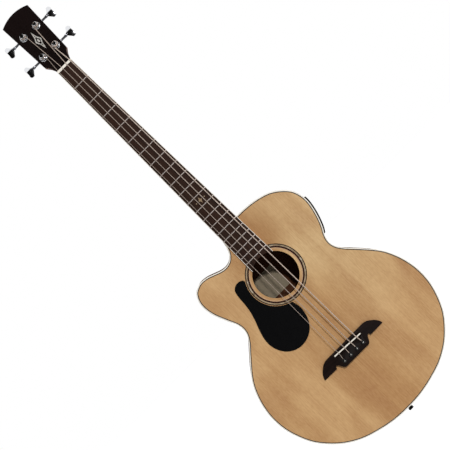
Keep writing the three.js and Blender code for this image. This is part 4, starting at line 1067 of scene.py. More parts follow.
def neck_radius(a, place):
    """The neck's reach from its top's middle at an angle a from +X, at a place along the neck.

    The shaft's full round blends into the heel. Neither is wider than the fingerboard.
    """
    neck = bpy.context.scene.bass_neck
    half = board_width(min(place, 0)) / 2
    depth = neck.shaft_near + (neck.shaft_far - neck.shaft_near) * min(place, 0) / body_top()
    away = place - heel_foot()
    cos, sin = abs(math.cos(a)), math.sin(a)
    fullness, blend = 2.5, 9

    def outside(radius):
        """Over 1 where a radius reaches out of the neck."""
        x, y = radius * cos, radius * sin
        shaft = math.sqrt((x / half) ** 2 + (y / depth) ** fullness)
        down = y / neck.heel_depth
        if away > neck.heel_reach * 1.2 or down > 1:
            return shaft
        wide, long = heel_reach(y)
        heel = math.hypot(x / wide, away / long)
        return (shaft**-blend + max(heel, 1e-6) ** -blend) ** (-1 / blend)

    low, high, halvings = 0.0, 0.2, 26
    for _ in range(halvings):
        middle = (low + high) / 2
        if outside(middle) < 1:
            low = middle
        else:
            high = middle
    return min(low, neck.heel_depth / max(sin, 1e-6), half / max(cos, 1e-6))


HEEL_LINES = {}


def heel_reach(depth):
    """The heel's half width and its reach along the neck at a depth from the front."""
    neck = bpy.context.scene.bass_neck
    down = depth / neck.heel_depth
    wide = neck.cap_width + (neck.heel_width - neck.cap_width) * heel_value(down, 1)
    return wide / 2, neck.cap_reach + (neck.heel_reach - neck.cap_reach) * heel_value(down, 2)


def heel_value(down, column, steps=60):
    """A column of the heel's shares, from a line that is worked out once."""
    if column not in HEEL_LINES:
        HEEL_LINES[column] = [table_value(HEEL_SHARES, i / steps, column) for i in range(steps + 1)]
    place = min(max(down, 0), 1) * steps
    low = min(int(place), steps - 1)
    line = HEEL_LINES[column]
    return line[low] + (line[low + 1] - line[low]) * (place - low)


def head_outline(start):
    """The headstock's outline in its own frame."""
    neck = bpy.context.scene.bass_neck
    root, nut_half, end_half = neck.head_root / 2, neck.nut_width / 2, neck.head_end / 2
    flare = [(nut_half, start), (nut_half, neck.flare * 0.05)]
    flare += [(nut_half + (root - nut_half) * out, neck.flare * up) for out, up in FLARE_SHARES]
    corner = neck.head_length - neck.head_crown
    side = smooth_line(flare, FLARE_STEPS)
    crown = [Vector((end_half * (1 - i / 12), corner + neck.head_crown * (1 - (1 - i / 12) ** 2)))
             for i in range(13)]
    right = [*side, *crown]
    return right + [Vector((-p.x, p.y)) for p in right[-2::-1]]


def under_overlay(neck):
    """How far the headstock's wood lies below the overlay's face."""
    return neck.overlay + SEAT


def flare_half(up):
    """Half of the headstock's width at a height over the nut."""
    flare = head_outline(0)[:FLARE_STEPS * (len(FLARE_SHARES) + 1)]
    for a, b in zip(flare, flare[1:]):
        if a.y <= up <= b.y and b.y > a.y:
            return a.x + (b.x - a.x) * (up - a.y) / (b.y - a.y)
    return flare[0].x


# Operators, one for each piece or group of like pieces

class BASS_OT_stage(bpy.types.Operator):
    """Adds the camera, the lamp, the dark cards, the pale floor and the white world"""

    bl_idname = "bass.stage"
    bl_label = "Stage"

    def execute(self, context):
        scene, stage = context.scene, context.scene.bass_stage
        scene.camera = self.add_camera(stage)
        self.add_lamp(stage)
        self.add_dark_card("front_card", -stage.card_distance, stage.card_size, stage.card_lift)
        self.add_dark_card("rear_card", stage.card_distance, stage.card_size * 0.3, 0)
        scene.world = self.white_room(stage)
        self.add_floor(stage)
        scene.view_settings.view_transform = "Standard"
        return {"FINISHED"}

    def add_camera(self, stage):
        """A long lens before the guitar, rolled so that the guitar leans in the picture."""
        camera = linked("camera", bpy.data.cameras.new("camera"))
        right = Vector((math.cos(stage.roll), 0, -math.sin(stage.roll)))
        up = Vector((math.sin(stage.roll), 0, math.cos(stage.roll)))
        turn = Matrix((right, up, right.cross(up))).transposed().to_4x4()
        camera.matrix_world = Matrix.Translation((stage.aim_x, -stage.distance, stage.aim_z)) @ turn
        camera.data.lens = stage.lens
        camera.data.clip_end = 100
        return camera

    def add_lamp(self, stage):
        """The key lamp, before the guitar and above it on the viewer's right."""
        lamp = bpy.data.lights.new("key", "SUN")
        lamp.energy = stage.key
        lamp.angle = stage.key_size
        linked("key", lamp).matrix_world = along_axis((-0.5, -3, 1), KEY_SIDE)

    def sheet(self, name, size, place, material):
        """A flat square of the stage."""
        bm = bmesh.new()
        bmesh.ops.create_grid(bm, x_segments=2, y_segments=2, size=size / 2)
        mesh = mesh_of(bm)
        mesh.transform(place)
        mesh.materials.append(material)
        return linked(name, mesh)

    def add_dark_card(self, name, place, size, lift):
        """A dark card before or behind the guitar, seen only in gloss, as photographers use for chrome."""
        material, _, shader = fresh_material("dark_card")
        set_inputs(shader, {
            "Base Color": (0.012, 0.011, 0.01, 1), "Roughness": 0.9, "Specular IOR Level": 0,
        })
        stand = Matrix.Translation((0, place, lift)) @ Matrix.Rotation(math.pi / 2, 4, "X")
        card = self.sheet(name, size, stand, material)
        for ray in ("camera", "diffuse", "shadow", "volume_scatter"):
            setattr(card, f"visible_{ray}", False)

    def add_floor(self, stage):
        """A pale floor far below the guitar, white where it is seen."""
        material, nodes, shader = fresh_material("pale_floor")
        set_inputs(shader, {
            "Base Color": (0.85, 0.85, 0.85, 1), "Roughness": 0.9, "Emission Color": (1, 1, 1, 1),
            "Emission Strength": sum_of(nodes, "MULTIPLY", seen_directly(nodes), 0.7),
        })
        drop = Matrix.Translation((0, 0, stage.floor_drop))
        floor = self.sheet("floor", stage.floor_size, drop, material)

    def white_room(self, stage):
        """A world that is white where it is seen, and lights the guitar softly."""
        world = bpy.data.worlds.new("white_room")
        world.use_nodes = True
        nodes = world.node_tree.nodes
        inputs = {"Value": seen_directly(nodes), "To Min": stage.fill, "To Max": 1}
        strength = added(nodes, "MapRange", inputs).outputs["Result"]
        set_inputs(nodes["Background"], {"Color": (1, 1, 1, 1), "Strength": strength})
        return world


def seen_directly(nodes):
    """1 for what the camera, a reflection or glass sees, else 0."""
    rays = added(nodes, "LightPath").outputs
    seen = sum_of(nodes, "MAXIMUM", rays["Is Camera Ray"], rays["Is Glossy Ray"])
    return sum_of(nodes, "MAXIMUM", seen, rays["Is Transmission Ray"])


class BASS_OT_soundboard(bpy.types.Operator):
    """Adds the spruce soundboard with its soundhole"""

    bl_idname = "bass.soundboard"
    bl_label = "Soundboard"

    def execute(self, context):
        body = context.scene.bass_body
        hole = ring(body.hole_radius, (0, hole_centre()))
        edge = inset(body_outline(), body.wall + body.purfling)
        board = rounded(plate(edge, 0, body.top_thickness, [hole]), 0.3 * MM, 2)
        add_piece("soundboard_top", board, "spruce", replaces=["soundboard"])
        return {"FINISHED"}


class BASS_OT_bindings(bpy.types.Operator):
    """Adds the ivory bindings and the dark purfling lines of front and back"""

    bl_idname = "bass.bindings"
    bl_label = "Bindings"

    def execute(self, context):
        body = context.scene.bass_body
        soft, line_depth, inner = 0.9 * MM, 1 * MM, body.wall + body.purfling
        strip = [(0, body.binding), (0, soft), (soft * 0.3, soft * 0.3), (soft, 0), (body.wall, 0),
                 (body.wall, body.binding)]
        line = [(body.wall, 0), (body.wall, line_depth), (inner, line_depth), (inner, 0)]
        for edge, solid in (("front", "top_binding"), ("rear", "back_binding")):
            add_piece(f"{edge}_binding", rim_band(strip, edge == "rear"), "ivory",
                      replaces=[solid])
        for edge in ("front", "rear"):
            add_piece(f"{edge}_purfling", rim_band(line, edge == "rear"), "purfling")
        return {"FINISHED"}


class BASS_OT_sides(bpy.types.Operator):
    """Adds the two halves of the bent side"""

    bl_idname = "bass.sides"
    bl_label = "Sides"

    def execute(self, context):
        body = context.scene.bass_body
        outline = body_outline()
        tail = min(range(len(outline)), key=lambda i: outline[i].y)
        inner = inset(outline, body.wall)

        def half(first, last):
            """The side between two of the outline's points."""
            rows = []
            for outer, inside in list(zip(outline, inner))[first:last]:
                low = back_face(outer.x, outer.y) - body.binding
                rows.append([(outer.x, body.binding, outer.y), (outer.x, low, outer.y),
                             (inside.x, low, inside.y), (inside.x, body.binding, inside.y)])
            return skin(rows)

        bass = cut(half(0, tail + 1), button_room(CUP_WALL))
        for side, shape in (("bass", bass), ("treble", half(tail, len(outline)))):
            add_piece(f"bent_side_{side}", shape, "mahogany", replaces=[f"side_{side}"])
        top, heel = body_top(), context.scene.bass_neck.heel_width / 2
        rod_half, rod_depth, through = 7 * MM, 18 * MM, 0.01
        low = back_face(0, top) - body.binding
        slip = block((-heel, heel), (body.binding, low), (top - body.wall, top - SEAT))
        rod_way = block((-rod_half, rod_half), (0, rod_depth), (top - through, top + through))
        add_piece("side_under_heel", cut(slip, rod_way), "mahogany")
        return {"FINISHED"}


class BASS_OT_back(bpy.types.Operator):
    """Adds the arched back and its centre strip"""

    bl_idname = "bass.back"
    bl_label = "Back"

    def execute(self, context):
        body = context.scene.bass_body
        reach, steps = 500 * MM, 20
        centre = Vector((0, 0, body_top() - body.crown))
        rim = [(reach * i / steps, -body.depth + (reach * i / steps) ** 2 / (2 * body.arch))
               for i in range(steps + 1)]
        inside = [(r, h + body.back_thickness) for r, h in rim[::-1]]
        edge = inset(body_outline(), body.wall + body.purfling)
        strip, lap = 2.6 * MM, 0.02 * MM
        parts = [("back_half_treble", -1, lap - strip, "back"), ("back_half_bass", strip - lap, 1, "back"),
                 ("back_strip", -strip, strip, "strip")]
        for name, low, high, finish in parts:
            # The arched shell, cut out by the body's outline between two places across it
            dome = turned([*rim, *inside], along_axis(centre, (0, -1, 0)), steps=72)
            column = meet(plate(edge, 0.05, 0.2), block((low, high), (0.04, 0.21), (-2, 1)))
            part = add_piece(name, meet(dome, column), finish,
                             replaces=["back_plate"] if finish == "strip" else ())
            part.data.materials.append(material_for("raw_mahogany"))
            for face in part.data.polygons:
                face.material_index = 1 if face.normal.y < -0.5 else 0
        return {"FINISHED"}


class BASS_OT_rosette(bpy.types.Operator):
    """Adds the rosette's rings round the soundhole, and the paper label inside"""

    bl_idname = "bass.rosette"
    bl_label = "Rosette and label"

    def execute(self, context):
        centre = (0, hole_centre())
        bands = [
            ("rosette_wood", 57.5, 60, "rosette_tan", None, ()),
            ("rosette_inner", 60, 63.7, "rosette_brown", None, ()),
            ("rosette_pearl", 63.7, 66.7, "rosette_shell", "abalone", ["rosette"]),
            ("rosette_outer", 66.7, 68.8, "rosette_black", None, ()),
        ]
        proud, sunk = 0.04 * MM, 0.6 * MM
        for name, inner, outer, finish, slot, replaces in bands:
            band = plate(ring(outer * MM, centre, 128), -proud, sunk, [ring(inner * MM, centre, 128)])
            add_piece(name, band, finish, replaces=replaces)
        self.add_label(context.scene.bass_body)
        return {"FINISHED"}

    def add_label(self, body):
        """A plain paper label, glued to the arched back inside."""
        left, right, thick = -62 * MM, 9 * MM, 0.3 * MM
        high, low = hole_centre() + 21 * MM, hole_centre() - 41 * MM
        inside = body.back_thickness + 0.1 * MM
        rows = []
        for i in range(13):
            z = high + (low - high) * i / 12
            front = [(x, back_face(x, z) - inside - thick, z)
                     for x in (left + (right - left) * k / 8 for k in range(9))]
            rows.append(front + [(x, y + thick, z) for x, y, z in front[::-1]])
        add_piece("paper_label", skin(rows), "paper")


class BASS_OT_pickguard(bpy.types.Operator):
    """Adds the black pickguard"""

    bl_idname = "bass.pickguard"
    bl_label = "Pickguard"

    def execute(self, context):
        body = context.scene.bass_body
        radius, centre = body.guard_radius, hole_centre()
        free = smooth_line([(radius * x, centre + radius * z) for x, z in GUARD_SHARES], 5)
        start = math.atan2(free[-1].y - centre, free[-1].x) + 2 * math.pi
        end = math.atan2(free[0].y - centre, free[0].x)
        hug = [Vector((radius * math.cos(a), centre + radius * math.sin(a)))
               for a in (start + (end - start) * i / 40 for i in range(1, 40))]
        guard = plate([*free, *hug], -body.guard_thickness, 0)
        add_piece("pickguard_plate", rounded(guard, 0.6 * MM), "guard",
                  replaces=["pickguard"])
        return {"FINISHED"}


class BASS_OT_bridge(bpy.types.Operator):
    """Adds the bridge with its saddle"""

    bl_idname = "bass.bridge"
    bl_label = "Bridge and saddle"

    def execute(self, context):
        sizes = context.scene.bass_strings
        top = saddle_place(0) + sizes.bridge_lead
        half, through = sizes.bridge_width / 2, 0.01
        line = [BRIDGE_SHARES[0], *smooth_line(BRIDGE_SHARES[1:7], 5), *BRIDGE_SHARES[7:]]
        right = [(p[0] * half, top - p[1] * sizes.bridge_length) for p in line]
        outline = right + [(-x, z) for x, z in right[-2:0:-1]]
        rise = sizes.bridge_height - sizes.wing_height
        wing = [(x * half, sizes.wing_height + rise * share) for x, share in WING_SHARES]
        crest = smooth_line([(-x, h) for x, h in wing[:0:-1]] + wing, 6)
        profile = [*crest, Vector((half, -0.02)), Vector((-half, -0.02))]
        ends = [[Vector((p.x, -p.y, z)) for p in profile]
                for z in (top + through, top - sizes.bridge_length - through)]
        body = rounded(meet(plate(outline, -sizes.bridge_height, 0), skin(ends)), 1.1 * MM)
        body = even(cut(body, self.saddle_block(sizes, sizes.fit, sizes.bridge_height + through)))
        add_piece("bridge_body", body, "bridge", replaces=["bridge"])
        saddle = self.saddle_block(sizes, 0, sizes.bridge_height + sizes.saddle_proud - sizes.fit)
        add_piece("saddle_bar", rounded(saddle, 0.9 * MM), "ivory", replaces=["saddle"])
        return {"FINISHED"}

    def saddle_block(self, sizes, gap, height):
        """The saddle's slanted bar with a gap round it, up to a height over the soundboard."""
        long, thick = sizes.saddle_length / 2 + gap, sizes.saddle_thickness / 2 + gap
        foot = sizes.bridge_height - 6 * MM
        bar = block((-long, long), (-height, -foot), (-thick, thick))
        bar.transform(Matrix.Translation((0, 0, saddle_place(0))) @ Matrix.Rotation(sizes.slant, 4, "Y"))
        return bar


class BASS_OT_bridge_pins(bpy.types.Operator):
    """Adds the four bridge pins with their pearl dots"""

    bl_idname = "bass.bridge_pins"
    bl_label = "Bridge pins"

    def execute(self, context):
        sizes = context.scene.bass_strings
        shank, wide, dot = sizes.pin_radius, sizes.pin_head, 1.2 * MM
        for string in bass_strings():
            name = string["name"]
            foot = sizes.bridge_height + string["radius"] + sizes.fit
            crown = foot + sizes.pin_height
            rim, under = crown - SEAT, crown - 0.6 * MM
            place = along_axis((sizes.pin_spread * string["share"], 0, pin_place()), (0, -1, 0))
            head = [(wide * math.cos(a), foot + sizes.pin_height * (0.45 + 0.55 * math.sin(a)))
                    for a in (math.radians(step) for step in range(0, 90, 12))]
            profile = [(0, -sizes.pin_depth), (sizes.pin_tip, -sizes.pin_depth), (shank, sizes.bridge_height),
                       (shank, foot), (wide - 0.6 * MM, foot), *head, (1.5 * MM, rim), (0, rim)]
            add_piece(f"pin_{name}", turned(profile, place, 32, 30), "gloss",
                      replaces=[f"bridge_pin_{name}"])
            pearl = turned([(0, under), (dot, under), (dot, rim), (1.0 * MM, crown), (0, crown)], place, 24)
            add_piece(f"pin_dot_{name}", pearl, "pearl")
        return {"FINISHED"}


class BASS_OT_neck(bpy.types.Operator):
    """Adds the neck with its heel, its headstock and the heel's ivory cap"""

    bl_idname = "bass.neck"
    bl_label = "Neck"

    def execute(self, context):
        neck = context.scene.bass_neck
        # Sections close together over the heel, further apart along the shaft, and up to the nut
        places = [heel_foot() + 2 * MM * i for i in range(48)]
        places += [places[-1] + 14 * MM * i for i in range(1, 25)]
        last, near = places[-1], -24 * MM
        places += [last + (near - last) * i / 12 for i in range(1, 13)]
        # Their points lie closer together at the neck's back than at its edges
        shares, crowding = [i / 32 - 1 for i in range(65)], 1.6
        angles = [math.pi / 2 * (1 + math.copysign(abs(share) ** crowding, share)) for share in shares]
        rows = []
        for place in places:
            reach = [(a, neck_radius(a, place)) for a in angles]
            rows.append([(radius * math.cos(a), radius * math.sin(a), place) for a, radius in reach])
        rows += self.transition(neck, near, angles)
        seam, cap_face = 40 * MM, neck.heel_depth - 1.6 * MM
        wide = (-0.1, 0.1)
        shaft = meet(skin(rows, sharp=50), block(wide, (-0.1, seam), (-2, 1)))
        lower, proud = [], 0.06 * MM
        for i in range(29):
            depth = seam - 1.5 * MM + (cap_face + 1.47 * MM - seam) * i / 28
            oval = half_oval(*(reach + proud for reach in heel_reach(depth)), 40)
            lower.append([(x, depth, z) for x, z in oval])
        head = slab(head_outline(-neck.head_sink), -neck.head_thickness, -under_overlay(neck), Matrix())
        head = meet(rounded(head, 0.8 * MM), block(wide, (neck.flare * 0.45, 1), wide))
        head.transform(head_frame())
        add_piece("neck_wood", joined(shaft, skin(lower, sharp=50), head), "mahogany",
                  replaces=["neck"])
        lip = 0.2 * MM
        cap = plate(half_oval(neck.cap_width / 2 + lip, neck.cap_reach + lip, 32), cap_face, neck.heel_depth)
        add_piece("heel_cap", rounded(cap, 0.4 * MM, 2), "ivory")
        return {"FINISHED"}

    def transition(self, neck, near, angles):
        """Sections that turn the round neck under the nut into the square headstock behind it."""
        head, sunk = head_frame(), under_overlay(neck)
        stations = [(i / 12, Vector((0, 0, near * (1 - i / 5.0))), 0) for i in range(1, 6)]
        stations.append((0.5, Vector((0, 0, neck.nut_length - 0.1 * MM)), 0))
        for i in range(1, 11):
            stations.append((0.5 + 0.05 * i, head @ Vector((0, 1.3 * MM * i, -sunk)), sunk))
        back = head.to_3x3() @ Vector((0, 0, -1))
        rows = []
        for share, origin, above in stations:
            down = Vector((0, 1, 0)).lerp(back, share).normalized()
            half = flare_half(max((head.inverted() @ origin).y, 0))
            depth = neck.shaft_near + (neck.head_thickness - neck.shaft_near) * share - above
            depth += 1.2 * MM * math.sin(math.pi * share)
            squareness = 0.8 * (1 - 0.94 * share**2)
            row = []
            for a in angles:
                cos, sin = math.cos(a), max(math.sin(a), 0)
                out = Vector((math.copysign(abs(cos) ** squareness, cos) * half, 0, 0))
                row.append(origin + out + down * depth * sin**squareness)
            rows.append(row)
        return rows


class BASS_OT_overlay(bpy.types.Operator):
    """Adds the headstock's black overlay with its pearl ornament"""

    bl_idname = "bass.overlay"
    bl_label = "Headstock overlay"

    def execute(self, context):
        neck = context.scene.bass_neck
        start = neck.overlay * math.tan(neck.tilt) + AIR
        face = rounded(slab(head_outline(start), -under_overlay(neck), 0, head_frame()), 0.4 * MM, 2)
        add_piece("overlay_face", face, "overlay", replaces=["headstock_overlay"])
        self.add_ornament(neck)
        return {"FINISHED"}

    def add_ornament(self, neck):
        """An open lozenge with an oval in its middle and a dot above and below it."""
        place = head_frame() @ Matrix.Translation((0, neck.head_length / 2 - 2 * MM, 0))
        star = [(0, 27), (3.6, 10), (8.6, 0), (3.6, -10), (0, -27), (-3.6, -10), (-8.6, 0), (-3.6, 10)]
        outer = [Vector((x * MM, y * MM)) for x, y in star]
        hole = [Vector((x * 0.62 * MM, y * 0.66 * MM)) for x, y in star]
        oval = [Vector((p.x * 0.7, p.y * 1.6)) for p in ring(3.1 * MM, steps=24)]
        sunk = -0.4 * MM
        pieces = [slab(outer, sunk, SEAT, place, [hole]), slab(oval, sunk, SEAT, place)]
        for y in (-11, 11):
            pieces.append(slab(ring(1.3 * MM, (0, y * MM), 16), sunk, SEAT, place))
        add_piece("overlay_ornament", joined(*pieces), "pearl")


class BASS_OT_fingerboard(bpy.types.Operator):
    """Adds the fingerboard with its bound edges and inlay"""

    bl_idname = "bass.fingerboard"
    bl_label = "Fingerboard"

    def execute(self, context):
        neck, body = context.scene.bass_neck, context.scene.bass_body
        rows, blank_end = [], hole_centre() + body.hole_radius * 0.55
        for z in (0, blank_end):
            half = board_width(z) / 2 - neck.edge
            rows.append(self.section(neck, z, -half, half))
        hole = plate(ring(body.hole_radius, (0, hole_centre())), -0.03, 0.01)
        tail = block((-0.1, 0.1), (-0.03, 0.01), (hole_centre() - 0.06, board_end()))
        board = cut(skin(rows), hole, tail)
        add_piece("fingerboard_wood", board, "rosewood", replaces=["fingerboard"])
        for side, name in ((-1, "treble"), (1, "bass")):
            strip = []
            for z in (0, board_end()):
                half = board_width(z) / 2
                strip.append(self.section(neck, z, *sorted((side * half, side * (half - neck.edge))), 2))
            strip = rounded(skin(strip), 0.35 * MM, 2)
            add_piece(f"board_binding_{name}", strip, "ivory")
        self.add_inlay(neck)
        self.add_side_dots(neck)
        return {"FINISHED"}

    def add_inlay(self, neck):
        """A pearl lozenge with a dot at each side before the twelfth fret."""
        middle = (fret_place(11) + fret_place(12)) / 2
        face, sunk = -neck.board, 0.5 * MM
        star = [(0, 8), (1.8, 2.6), (5, 0), (1.8, -2.6), (0, -8), (-1.8, -2.6), (-5, 0), (-1.8, 2.6)]
        pieces = [plate([(x * MM, middle + z * MM) for x, z in star], face - 0.04 * MM, face + sunk)]
        for x in (-12, 12):
            top = face + (x * MM) ** 2 / (2 * neck.crown_radius)
            pieces.append(plate(ring(1.4 * MM, (x * MM, middle), 20), top - SEAT, top + sunk))
        add_piece("board_inlay", joined(*pieces), "rosette_shell")

    def add_side_dots(self, neck):
        """Dots on the bass edge, two of them before the twelfth fret."""
        dots = []
        for fret in (3, 5, 7, 9, 12, 15, 17):
            place = (fret_place(fret - 1) + fret_place(fret)) / 2
            for shift in ((-4, 4) if fret == 12 else (0,)):
                z = place + shift * MM
                axis = along_axis((board_width(z) / 2, -neck.board * 0.45, z), (1, 0, 0))
                dots.append(rod(1.1 * MM, -0.4 * MM, 0.04 * MM, axis, 16))
        add_piece("side_dots", joined(*dots), "gloss")

    def section(self, neck, z, low, high, steps=10):
        """The crowned board's section between two places across it."""
        xs = [high + (low - high) * i / steps for i in range(steps + 1)]
        crown = [(x, x**2 / (2 * neck.crown_radius) - neck.board, z) for x in xs]
        return [(low, 0, z), (high, 0, z), *crown]


class BASS_OT_frets(bpy.types.Operator):
    """Adds the frets"""

    bl_idname = "bass.frets"
    bl_label = "Frets"

    def execute(self, context):
        neck = context.scene.bass_neck
        foot, crown, steps = 0.5 * MM, neck.fret_width / 2, 12
        for fret in range(1, neck.frets + 1):
            place = fret_place(fret)
            half = board_width(place) / 2 - 0.2 * MM
            rows = []
            for i in range(steps + 1):
                x = half * (2 * i / steps - 1)
                base = x**2 / (2 * neck.crown_radius) - neck.board
                height = neck.fret_height * (0.6 if i in (0, steps) else 1.0)
                arc = [(x, base - height * math.sin(a), place + crown * math.cos(a))
                       for a in (math.pi * k / 8 for k in range(9))]
                rows.append([*arc, (x, base + foot, place - crown), (x, base + foot, place + crown)])
            add_piece(f"fret_{fret}", skin(rows, sharp=50), "fret_metal")
        return {"FINISHED"}


class BASS_OT_nut(bpy.types.Operator):
    """Adds the ivory nut with its string slots"""

    bl_idname = "bass.nut"
    bl_label = "Nut"

    def execute(self, context):
        neck = context.scene.bass_neck
        bar = block((-neck.nut_width / 2, neck.nut_width / 2), (-neck.nut_height, 0), (0, neck.nut_length))
        bar = rounded(bar, 0.8 * MM)
        for string in bass_strings():
            bar = cut(bar, tube(string_route(string)[NUT_POINTS], string["radius"] + 0.15 * MM))
        add_piece("nut_bar", bar, "ivory", replaces=["nut"])
        return {"FINISHED"}


class BASS_OT_strings(bpy.types.Operator):
    """Adds the four wound strings with their ball ends and windings"""

    bl_idname = "bass.strings"
    bl_label = "Strings"

    def execute(self, context):
        sizes = context.scene.bass_strings
        for string in bass_strings():
            route = string_route(string)
            ball = rod(sizes.ball_radius, 0, sizes.ball_length, along_axis(route[0], (0, 1, 0)), 20)
            wire = joined(tube(route, string["radius"]), ball)
            add_piece(f"wound_string_{string['name']}", wire, "string",
                      replaces=[f"string_{string['name']}"])
        return {"FINISHED"}


class BASS_OT_tuners(bpy.types.Operator):
    """Adds the four tuners: bushing, post, housing and key"""

    bl_idname = "bass.tuners"
    bl_label = "Tuners"

    def execute(self, context):
        tuner, neck = context.scene.bass_tuners, context.scene.bass_neck
        back = -neck.head_thickness - AIR
        for string in bass_strings():
            name, side = string["name"], string["side"]
            station = head_frame() @ Matrix.Translation((side * tuner.offset, string["reach"], 0))
            add_piece(f"bushing_{name}", self.bushing(tuner, station, back), "chrome",
                      replaces=[f"tuner_bushing_{name}"])
            add_piece(f"post_{name}", self.post(tuner, station, back), "chrome", body=f"tuner_post_{name}",
                      replaces=[f"tuner_post_{name}"])
            leaf, spindle = self.key(tuner, station, side, back)
            add_piece(f"key_{name}", leaf, "chrome", body=f"tuner_key_{name}",
                      replaces=[f"tuner_key_{name}"])
            add_piece(f"key_shaft_{name}", spindle, "dark_chrome", body=f"tuner_key_{name}")
            add_piece(f"housing_{name}", self.housing(tuner, station, side, back), "chrome",
                      replaces=[f"tuner_housing_{name}"])
        return {"FINISHED"}

    def bushing(self, tuner, station, back):
        """A washer with a hexagon on it, and the sleeve through the headstock."""
        seat, edge, bore = 0.3 * MM, tuner.washer - 0.5 * MM, tuner.bore
        face = seat + tuner.washer_height
        washer = turned([
            (bore, seat), (edge, seat), (tuner.washer, seat + 0.4 * MM),
            (edge, seat + tuner.washer_height * 0.8), (tuner.hexagon, face), (bore, face),
        ], station, 48)
        nut = rounded(slab(ring(tuner.hexagon, steps=6), seat, tuner.hexagon_height, station), 0.5 * MM)
        low, high = back + 0.6 * MM, tuner.hexagon_height + 0.2 * MM
        sleeve = turned([(bore, low), (tuner.sleeve, low), (tuner.sleeve, high), (bore, high)], station, 40)
        return joined(washer, nut, sleeve)

    def post(self, tuner, station, back):
        """A string post with its gear, drum, cap and slot."""
        gear_place = back - tuner.shaft_drop
        gear_low, gear_high = gear_place - tuner.gear_width / 2, gear_place + tuner.gear_width / 2
        tip, end, flange = tuner.shaft / 2, back - tuner.room + AIR, 5.6 * MM
        foot = tuner.hexagon_height + AIR
        top, waist = tuner.drum_top + tuner.cap_height, (tuner.drum_foot + tuner.drum_top) / 2
        profile = [
            (0, end), (tip, end), (tip, gear_low), (tuner.gear, gear_low), (tuner.gear, gear_high),
            (tuner.shaft, gear_high), (tuner.shaft, foot), (flange, foot), (flange, foot + 1 * MM),
            (tuner.drum, tuner.drum_foot), (tuner.drum * 0.96, waist), (tuner.drum, tuner.drum_top),
            (tuner.cap, tuner.drum_top + 0.4 * MM), (tuner.cap, top - 0.7 * MM), (tuner.cap - 0.6 * MM, top),
            (0, top),
        ]
        half, through = tuner.slot_width / 2, 0.01
        slot = oblong((-half, half), (-through, through))
        slot = slab(slot, top - tuner.slot_depth, top + through, Matrix())
        post = cut(turned(profile, Matrix(), 48, 30), slot)
        post.transform(station)
        return post

    def key(self, tuner, station, side, back):
        """A key's crowned button, and its shaft with the worm and the collars."""
        start = tuner.key_start - tuner.offset
        line = smooth_line(KEY_SHARES, 4)
        wing = [Vector((side * (start + tuner.key_length * p.x), tuner.key_height * p.y)) for p in line]
        outline = wing + [Vector((p.x, -p.y)) for p in wing[-2::-1]]
        place = station @ Matrix.Translation((0, worm_place(tuner), back - tuner.shaft_drop))
        middle = side * (start + tuner.key_length * 0.62)
        crown = self.lens(place @ Matrix.Translation((middle, 0, 0)))
        leaf = rounded(meet(slab(outline, -0.01, 0.01, place), crown), 0.35 * MM, 2)
        worm, half, wall = tuner.worm, tuner.worm_length / 2, housing_half(tuner) + AIR
        shaft, thick = tuner.key_shaft, tuner.key_shaft + 0.7 * MM
        collar, long, end = tuner.collar, tuner.collar_length, start + tuner.key_length / 2
        spindle = turned([
            (0, -half), (worm, -half), (worm, half), (shaft, half), (shaft, wall), (collar, wall),
            (collar, wall + long), (thick, wall + long + 1 * MM), (thick, start - long),
            (collar, start - 0.4 * MM), (collar, start + long), (thick, start + 2 * long),
            (thick * 0.7, end), (0, end),
        ], place @ along_axis((0, 0, 0), (side, 0, 0)), 32)
        return leaf, spindle

    def lens(self, place):
        """A shape with two domed faces, which gives a key's button its crown."""
        high, radius = 2.6 * MM, 52 * MM
        face = [(r * MM, high - (r * MM) ** 2 / (2 * radius)) for r in range(15, -1, -1)]
        return turned([(0, -high), *[(r, -h) for r, h in face[-2::-1]], *face], place, 72, 60)

    def housing(self, tuner, station, side, back):
        """A closed cover over a tuner's gears, with two screws."""
        across, wall = housing_half(tuner), tuner.housing
        low, high = -tuner.gear - GEAR_AIR, worm_place(tuner) + tuner.worm + GEAR_AIR
        bottom, inner = back - tuner.room, across - wall
        box = oblong((-across, across), (low - wall, high + wall))
        cover = rounded(slab(box, bottom - wall, back, station), 1.4 * MM, 4)
        room = slab(oblong((-inner, inner), (low, high)), bottom, 0.02, station)
        shaft_way = along_axis((0, worm_place(tuner), back - tuner.shaft_drop), (side, 0, 0))
        opening = rod(tuner.key_shaft + AIR, 0, 0.02, station @ shaft_way, 32)
        crown = [(0, 0), (1.6 * MM, 0), (1.6 * MM, 0.3 * MM), (0.9 * MM, 0.8 * MM), (0, 0.9 * MM)]
        screws = [turned(crown, station @ along_axis((0, y, bottom - wall), (0, 0, -1)), 20)
                  for y in (low + 2 * MM, high - 2 * MM)]
        return joined(cut(cover, room, opening), *screws)


